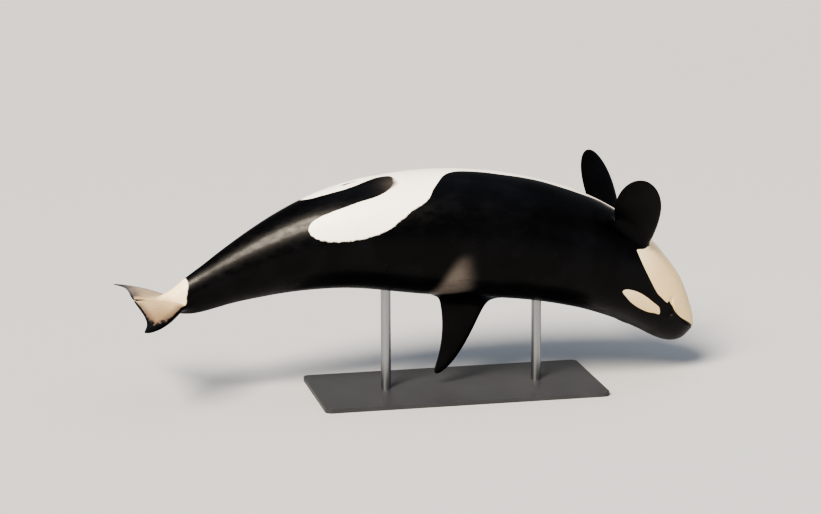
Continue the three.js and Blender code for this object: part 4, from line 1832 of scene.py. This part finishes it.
    def joined(self) -> bpy.types.Mesh:
        """Grow the fins and the body together.

        Returns:
            One closed mesh.
        """
        body = linked(self.body(), "body_blank")
        blanks = []
        for blade in self.blades:
            blank = linked(blade.mesh(), f"{blade.fin.name.lower()}_blank")
            joint = body.modifiers.new(blank.name, "BOOLEAN")
            joint.operation = "UNION"
            joint.solver = "MANIFOLD"
            joint.object = blank
            blanks.append(blank)
        graph = bpy.context.evaluated_depsgraph_get()
        mesh = bpy.data.meshes.new_from_object(body.evaluated_get(graph))
        form = bmesh.new()
        form.from_mesh(mesh)
        cut = [f for f in form.faces if len(f.verts) > 4]
        bmesh.ops.triangulate(form, faces=cut, quad_method="BEAUTY", ngon_method="BEAUTY")
        form.to_mesh(mesh)
        form.free()
        for obj in (body, *blanks):
            data = obj.data
            bpy.data.objects.remove(obj)
            bpy.data.meshes.remove(data)
        return mesh

    def build(self) -> bpy.types.Object:
        """Build the whole hide, dress it and hand it over.

        Returns:
            The object.
        """
        mesh = self.joined()
        away = self.soften(mesh)
        self.mark(mesh, away)
        self.unwrap(mesh)
        mesh.uv_layers.remove(mesh.uv_layers["place"])
        mesh.shade_smooth()
        mesh.materials.clear()
        mesh.materials.append(Hide().material())
        skin = linked(mesh, "orca_skin")
        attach(skin, "root")
        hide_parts("head", "lower_jaw", "chest", "abdomen", "tail_stock", "dorsal_fin", "flipper_left",
                    "flipper_right", "fluke_left", "fluke_right")
        return skin

    @staticmethod
    def codes(mesh: bpy.types.Mesh) -> tuple[Array, Array, Array]:
        """Read which part each corner came from.

        Args:
            mesh: The joined mesh.

        Returns:
            Vertex of each corner, its part (0 for the body) and its place there.
        """
        values = np.empty(2 * len(mesh.loops), np.float32)
        mesh.uv_layers["place"].uv.foreach_get("vector", values)
        values = values.reshape(-1, 2).astype(float)
        part = np.floor((values[:, 0] + 2) / CODE).astype(int)  # u is never below -2
        values[:, 0] -= CODE * part
        return loop_vertices(mesh), part, values

    def soften(self, mesh: bpy.types.Mesh) -> Array:
        """Round the creases where fins meet the body, by relaxing the vertices near them.

        Args:
            mesh: The joined mesh.

        Returns:
            Distance of each vertex to the nearest crease.
        """
        corner, part, place = self.codes(mesh)
        count = len(mesh.vertices)
        low, high = np.full(count, len(Fin) + 1), np.full(count, -1)
        np.minimum.at(low, corner, part)
        np.maximum.at(high, corner, part)
        points = read_points(mesh)
        crease = points[low != high]
        log.info("crease has %d vertices", len(crease))
        distance = np.full(count, np.inf)
        for chunk in np.array_split(crease, max(1, len(crease) // self.chunk)):
            away = np.sqrt(((points[:, None, :] - chunk[None]) ** 2).sum(-1)).min(1)
            distance = np.minimum(distance, away)
        weight = 1 - ease(distance / self.fillet)
        fluke = part >= Fin.FLUKE_LEFT.value  # the notch between the flukes keeps its edges
        weight[corner[fluke]] *= 1 - rise(place[fluke, 0], self.still)
        edges = np.empty(2 * len(mesh.edges), np.int32)
        mesh.edges.foreach_get("vertices", edges)
        edges = edges.reshape(-1, 2)
        edges = edges[(weight[edges] > 0).any(1)]
        degree = np.maximum(np.bincount(edges.ravel(), minlength=count), 1)[:, None]
        for _ in range(self.rounds):
            total = np.stack([np.bincount(edges[:, 0], points[edges[:, 1], k], count)
                              + np.bincount(edges[:, 1], points[edges[:, 0], k], count) for k in range(3)], 1)
            points += self.pull * weight[:, None] * (total / degree - points)
        write_points(mesh, points)
        return distance

    def mark(self, mesh: bpy.types.Mesh, away: Array) -> None:
        """Write the markings as distances and shares on the vertices.

        The pale value is the signed distance to the edge of the nearest pale field. The others are
        shares that rise and fall along the body and out along the flukes.

        Args:
            mesh: The joined mesh.
            away: Distance of each vertex to the nearest crease.
        """
        marks, tints = self.markings, self.tints
        corner, part, place = self.codes(mesh)
        count = len(mesh.vertices)
        owner = np.zeros(count, int)
        at = np.zeros((count, 2))
        order = np.argsort(-part, kind="stable")  # body corners come last and win
        owner[corner[order]] = part[order]
        at[corner[order]] = place[order]
        x, t = at[:, 0], turned(at[:, 1])
        body = owner == 0
        girth = np.zeros(count)
        girth[body] = self.trunk.girth(x[body], np.abs(t[body]))
        flat = np.stack([np.maximum(x, NEAREST), girth], 1)
        pale = np.full(count, marks.outside)
        saddle = np.zeros(count)
        for shape in (marks.belly, marks.patch):
            pale[body] = np.maximum(pale[body], inside_by(outline(shape, self.trunk), flat[body]))
        # the saddle's grey, with a painted sheen and a painted highlight along its lower edge
        saddle[body] = self.saddle_and_sheen_share(flat[body])
        # painted shade in and beside the genital slit
        for (at_x, at_t), half_long, half_wide in marks.slit_shades:
            across = girth[body] - self.trunk.girth(np.array([at_x]), np.array([at_t]))
            speck = 1 - np.hypot((x[body] - at_x) / half_long, across / half_wide)
            pale[body] = np.minimum(pale[body], -half_wide * speck)
        # a dark margin runs round the foot of each flipper
        front = body & (x < marks.flippers_end)
        pale[front] = np.minimum(pale[front], away[front] - marks.foot)
        paddle = (owner == Fin.FLIPPER_LEFT.value) | (owner == Fin.FLIPPER_RIGHT.value)
        pale[paddle] = -marks.foot - away[paddle]
        stock = self.stock_edge(x, np.abs(t))
        pale[body] = np.maximum(pale[body], stock[body])
        points = read_points(mesh)
        dusk = np.zeros(count)
        for blade in (each for each in self.blades if isinstance(each, Fluke)):
            mine = owner == blade.fin.value
            pale[mine], deep = self.fluke_edge(blade, at[mine], points[mine])
            # dusky zone along each fluke's rim; the far fluke's is wider and spread all over it as painted
            # shade
            width, at_rim, everywhere = tints.dusk[blade.fin]
            dusk[mine] = rise(at[mine, 1], tints.dusk_out) * (at_rim * (1 - ease(deep / width)) + everywhere)
        flukes, rear = owner >= Fin.FLUKE_LEFT.value, x > tints.rear
        least, more, ramp = tints.fray
        ragged = np.where(rear, tints.fray_rear, least + more * rise(x, ramp))
        least, more, ramp = tints.fray_fluke
        ragged[flukes] = least + more * rise(at[flukes, 1], ramp)
        warm, ramp = tints.warm_rear
        warmth = np.where(body, 1 - rise(x, tints.warm_front) + warm * rise(x, ramp), tints.warm_fin)
        # tan with painted shade beside the tail's ridge, all round its end and over the flukes, more towards
        # their tips
        along, round_it = tints.tan_shade_ridge
        ridge = rise(x, along) * rise(np.abs(t), round_it)
        tan = np.where(body, tints.tan * np.maximum(ridge, rise(x, tints.tan_shade_end)), 0)
        more, ramp = tints.tan_shade_fluke
        tan[flukes] = tints.tan + more * rise(at[flukes, 1], ramp)
        # the front end of the dark tongue fades in softly, the other edges are sharp
        off = np.hypot(flat[:, 0] - marks.tongue[0], girth - marks.tongue[1])
        grey, width = tints.grey_tongue
        saddle += np.where(body, grey * bell(off, width), 0)
        along, round_it, end = tints.lobe
        lobe = body * rise(x, along) * rise(girth, round_it) * (1 - rise(x, end))
        ragged += tints.fray_lobe * lobe
        blur, width = tints.soft_tongue
        soft = tints.soft + blur * bell(off, width) + tints.soft_rear * rear + tints.soft_lobe * lobe
        for name, values in (("pale", pale), ("saddle", saddle), ("ragged", ragged), ("warmth", warmth),
                             ("soft", soft), ("tan", tan), ("dusk", dusk)):
            layer = mesh.attributes.new(name, "FLOAT", "POINT")
            layer.data.foreach_set("value", np.ascontiguousarray(values, np.float32))

    def unwrap(self, mesh: bpy.types.Mesh) -> None:
        """Lay the hide flat in the map OFBake: the body slit open, each fin as two sheets above it.

        Args:
            mesh: The joined mesh.
        """
        sheet = self.sheet
        corner, part, place = self.codes(mesh)
        x, t = np.maximum(place[:, 0], 0), place[:, 1]
        girth = self.trunk.girth
        whole = 2 * girth(x, np.full_like(x, 180.0))
        round_it = np.where(t > 180, whole - girth(x, 360 - t), girth(x, np.minimum(t, 180)))
        flat = np.stack([x, round_it + sheet.below], 1)
        points, starts, totals = read_points(mesh)[corner], *face_runs(mesh)
        for column, blade in enumerate(self.blades):
            mine = part == blade.fin.value
            u, v = place[mine].T
            level, raised = (blade.place(u, v, np.full_like(u, n)) for n in (0, 1))
            height = np.zeros(len(part))
            height[mine] = np.sum((points[mine] - level) * (raised - level), 1)
            upper = np.repeat(np.add.reduceat(height, starts) > 0, totals)[mine]
            flat[mine] = np.stack([column * sheet.cell[0] + v - v.min(),
                                   sheet.body + upper * sheet.cell[1] + u - u.min()], 1)
        write_map(mesh, "OFBake", sheet.margin + flat * (1 - 2 * sheet.margin) / sheet.side)

    def saddle_and_sheen_share(self, at: Array) -> Array:
        """Say how grey the saddle is, its own grey with a painted sheen: soft all round, strongest at the
        rear and along the lower edge, where it is a painted highlight.

        Args:
            at: Points as (x, distance round the body).

        Returns:
            Shares from 0 to 1.
        """
        inside = inside_by(outline(self.markings.saddle, self.trunk), at)
        least, more, ramp = self.tints.grey_rear
        rear = rise(at[:, 0], ramp)
        # the lower edge is brighter as a painted highlight
        least_low, more_low, ramp, shift = self.tints.lower_edge_highlight
        low = rise(at[:, 1] + shift * rear, ramp)
        width, start = self.tints.grey_edge
        return ease(inside / width + start) * (least_low + more_low * low) * (least + more * rear)

    def stock_edge(self, x: Array, t: Array) -> Array:
        """Measure how far a point lies in the pale underside of the tail stock's end.

        Args:
            x: Stations.
            t: Angles from the belly line in degrees.

        Returns:
            Distances, positive inside.
        """
        marks = self.markings
        side, half_turn = marks.stock_side
        return np.minimum(x - through(marks.stock_t, marks.stock_x, t), (side - t) / 180 * half_turn)

    def fluke_depth(self, blade: Blade, at: Array) -> Array:
        """Measure how far a point lies in from a fluke's edges, as if the fluke had no root.

        Args:
            blade: The fluke.
            at: Its place in the fluke's plane.

        Returns:
            Distances, positive inside.
        """
        front, rear, _ = blade.edges(np.linspace(0, 1, self.markings.fluke_knots))
        inward = np.array([[0.0, self.markings.fluke_past]])
        return inside_by(np.concatenate([front[:1] - inward, front, rear[::-1], rear[:1] - inward]), at)

    def fluke_edge(self, blade: Blade, at: Array, points: Array) -> tuple[Array, Array]:
        """Measure how far a point lies in the pale underside of a fluke.

        Args:
            blade: The fluke.
            at: Its place in the fluke's plane.
            points: Its place in space.

        Returns:
            Distances in from the dark rim, positive inside, first for the pale field, cut off on the
            dark upper side, then for the dusky zone along it.
        """
        marks = self.markings
        (share, root), (more, tip) = marks.rim_root, marks.rim_tip
        rim = marks.rim * (share + (1 - share) * rise(at[:, 1], root)) + more * rise(at[:, 1], tip)
        level = blade.place(at[:, 0], at[:, 1], np.zeros(len(at)))
        below = ((points - level) @ blade.axes[3]) > 0
        inner = self.fluke_depth(blade, at) - rim
        return np.where(below, inner, marks.upper), np.maximum(inner, 0)


@dataclass
class EyeBall:
    """An eyeball with a bulged cornea, looking straight out of its socket."""

    trunk: Trunk
    side: int
    gloss: bpy.types.Material
    eye: Eye = Eye()
    rings: int = 48
    sides: int = 64
    bulge: float = 0.0012
    cornea: tuple = (0.35, 0.3)  # ramp off the axis in radians, along which the bulge falls off
    gap: float = 0.0004  # between the ball and the hollow of its lids

    def build(self) -> bpy.types.Object:
        """Build the ball from circles round its axis, with the bulge where the cornea is.

        Returns:
            The object.
        """
        name = "eye_left" if self.side > 0 else "eye_right"
        centre = self.eye.centre(self.trunk, self.side)
        axis = self.trunk.outward(np.array([self.eye.x]), np.array([self.side * self.eye.t]))[0]
        forward = self.trunk.frame(np.array([self.eye.x]))[1][0]
        across = unit(np.cross(axis, forward))
        along = np.cross(across, axis)
        polar = np.linspace(0, np.pi, self.rings + 2)[1:-1, None]
        round_it = np.linspace(0, 2 * np.pi, self.sides, endpoint=False)[None, :]
        size = self.eye.radius - self.gap
        radius = size + self.bulge * (1 - rise(polar, self.cornea))
        points = centre + (radius * np.sin(polar) * np.cos(round_it))[..., None] * along \
            + (radius * np.sin(polar) * np.sin(round_it))[..., None] * across \
            + (radius * np.cos(polar) * np.ones_like(round_it))[..., None] * axis
        off = np.broadcast_to(polar, points.shape[:2])
        mesh = lofted(f"{name}_ball", points, np.stack([off, off], -1), 0.0)
        mesh.uv_layers.remove(mesh.uv_layers["place"])
        layer = mesh.attributes.new("off_axis", "FLOAT", "POINT")
        layer.data.foreach_set("value", np.concatenate([off.ravel(), [0, np.pi]]).astype(np.float32))
        ends = read_points(mesh)
        ends[-2] = centre + axis * (size + self.bulge)
        ends[-1] = centre - axis * size
        write_points(mesh, ends)
        mesh.shade_smooth()
        mesh.materials.append(self.gloss)
        ball = linked(mesh, f"{name}_ball")
        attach(ball, "root")
        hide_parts(name)
        return ball


class Stand:
    """The plain display stand, whose solids have the right shape and get their finishes here."""

    def build(self) -> list[bpy.types.Object]:
        """Dress the base and the two rods.

        Returns:
            The objects.
        """
        paint, steel = StandPaint().material(), RodSteel().material()
        dressed = []
        for name, material in (("stand_base", paint), ("stand_rod_front", steel), ("stand_rod_rear", steel)):
            node = bpy.data.objects[name]
            node.data.materials.clear()
            node.data.materials.append(material)
            dressed.append(node)
        return dressed


class LampKind(Enum):
    """How a lamp throws its light."""

    SUN = "SUN"
    DISK = "AREA"


@dataclass(frozen=True)
class Lamp:
    """One lamp. Its size is an angle in degrees for a sun and a width in metres for a disk."""

    name: str
    kind: LampKind
    at: tuple
    size: float
    power: float
    colour: str
    aim: tuple = (0.3, 0.0, 1.3)

    def build(self) -> None:
        """Hang the lamp and turn it to the object."""
        lamp = bpy.data.lights.new(self.name, self.kind.value)
        if self.kind is LampKind.SUN:
            lamp.angle = math.radians(self.size)
        else:
            lamp.shape, lamp.size = self.kind.name, self.size
        lamp.energy = self.power
        lamp.color = srgb(self.colour)[:3]
        obj = bpy.data.objects.new(self.name, lamp)
        obj.location = self.at
        obj.rotation_euler = (Vector(self.at) - Vector(self.aim)).to_track_quat("Z", "Y").to_euler()
        bpy.context.scene.collection.objects.link(obj)


@dataclass(frozen=True)
class Studio:
    """Floor, lights and the camera at the photograph's angle."""

    azimuth: float = -13.0
    elevation: float = 12.0
    distance: float = 25.0
    width: float = 7.38  # of the frame, at the target
    target: tuple = (0.0, 0.0, 1.45)
    falls_at: tuple = (455.0, 232.0)  # place of the target in the image
    sensor: float = 36.0
    sees: float = 300.0
    floor_half: float = 60.0
    floor_run: tuple = (-45, 75, 121)  # first and last line of the floor, and their number
    floor_bend: tuple = (18, (40, 35))  # height that it curves up to, and ramp backwards
    room: tuple = ("#DDE4EE", 0.32)
    lamps: tuple = (
        Lamp("key", LampKind.SUN, (-5.0, -6.5, 9.0), 24.0, 5.4, "#FFF1DF"),
        Lamp("fill", LampKind.DISK, (9.0, -9.0, 4.0), 6.0, 50.0, "#EAF1FF"),
        Lamp("top", LampKind.DISK, (0.5, -1.0, 9.0), 11.0, 120.0, "#D6E2FF"))
    exposure: float = 0.08

    def build(self) -> None:
        """Set up everything round the object."""
        self.floor()
        self.lights()
        self.camera()
        self.tone()

    def floor(self) -> None:
        """Lay the floor, which curves up far behind the object."""
        run = np.linspace(*self.floor_run)
        high, ramp = self.floor_bend
        bend = high * rise(run, ramp)
        mesh = bpy.data.meshes.new("studio_floor")
        left, right = (np.stack([np.full_like(run, side * self.floor_half), run, bend], 1)
                       for side in (-1, 1))
        k = np.arange(len(run) - 1)
        quads = np.stack([k, k + len(run), k + len(run) + 1, k + 1], 1)
        mesh.from_pydata(np.concatenate([left, right]).tolist(), [], quads.tolist())
        mesh.shade_smooth()
        mesh.materials.append(Floor().material())
        linked(mesh, "studio_floor")

    def lights(self) -> None:
        """Hang large soft lights and a pale room."""
        world = bpy.data.worlds.new("studio")
        world.use_nodes = True
        colour, strength = self.room
        feed(world.node_tree, world.node_tree.nodes["Background"],
             {"Color": srgb(colour), "Strength": strength})
        bpy.context.scene.world = world
        for lamp in self.lamps:
            lamp.build()

    def tone(self) -> None:
        """Develop the picture with the deep blacks of a daylight photograph."""
        view = bpy.context.scene.view_settings
        view.view_transform = "AgX"
        view.look = "AgX - High Contrast"
        view.exposure = self.exposure

    def camera(self) -> None:
        """Place the camera where the photograph was taken from."""
        a, e = math.radians(self.azimuth), math.radians(self.elevation)
        back = Vector((math.sin(a) * math.cos(e), -math.cos(a) * math.cos(e), math.sin(e)))
        lens = bpy.data.cameras.new("camera")
        lens.sensor_width = self.sensor
        lens.lens = self.sensor * self.distance / self.width
        lens.shift_x = -(self.falls_at[0] - PHOTO[0] / 2) / PHOTO[0]
        lens.shift_y = (self.falls_at[1] - PHOTO[1] / 2) / PHOTO[0]
        lens.clip_end = self.sees
        camera = bpy.data.objects.new("camera", lens)
        camera.location = Vector(self.target) + back * self.distance
        camera.rotation_euler = back.to_track_quat("Z", "Y").to_euler()
        bpy.context.scene.collection.objects.link(camera)
        bpy.context.scene.camera = camera


def main() -> None:
    """Build the dressed model, piece by piece."""
    logging.basicConfig(level=logging.INFO, format="%(name)s: %(message)s")
    trunk = Trunk()
    skin = HideSkin(trunk).build()
    log.info("hide: %d vertices, %d triangles", len(skin.data.vertices),
             len(skin.data.loops) - 2 * len(skin.data.polygons))
    gloss = EyeGloss().material()
    for side in (1, -1):
        ball = EyeBall(trunk, side, gloss).build()
        log.info("%s: %d faces", ball.name, len(ball.data.polygons))
    for node in Stand().build():
        log.info("%s dressed", node.name)
    Studio().build()
    log.info("studio ready")


if __name__ == "__main__":
    main()
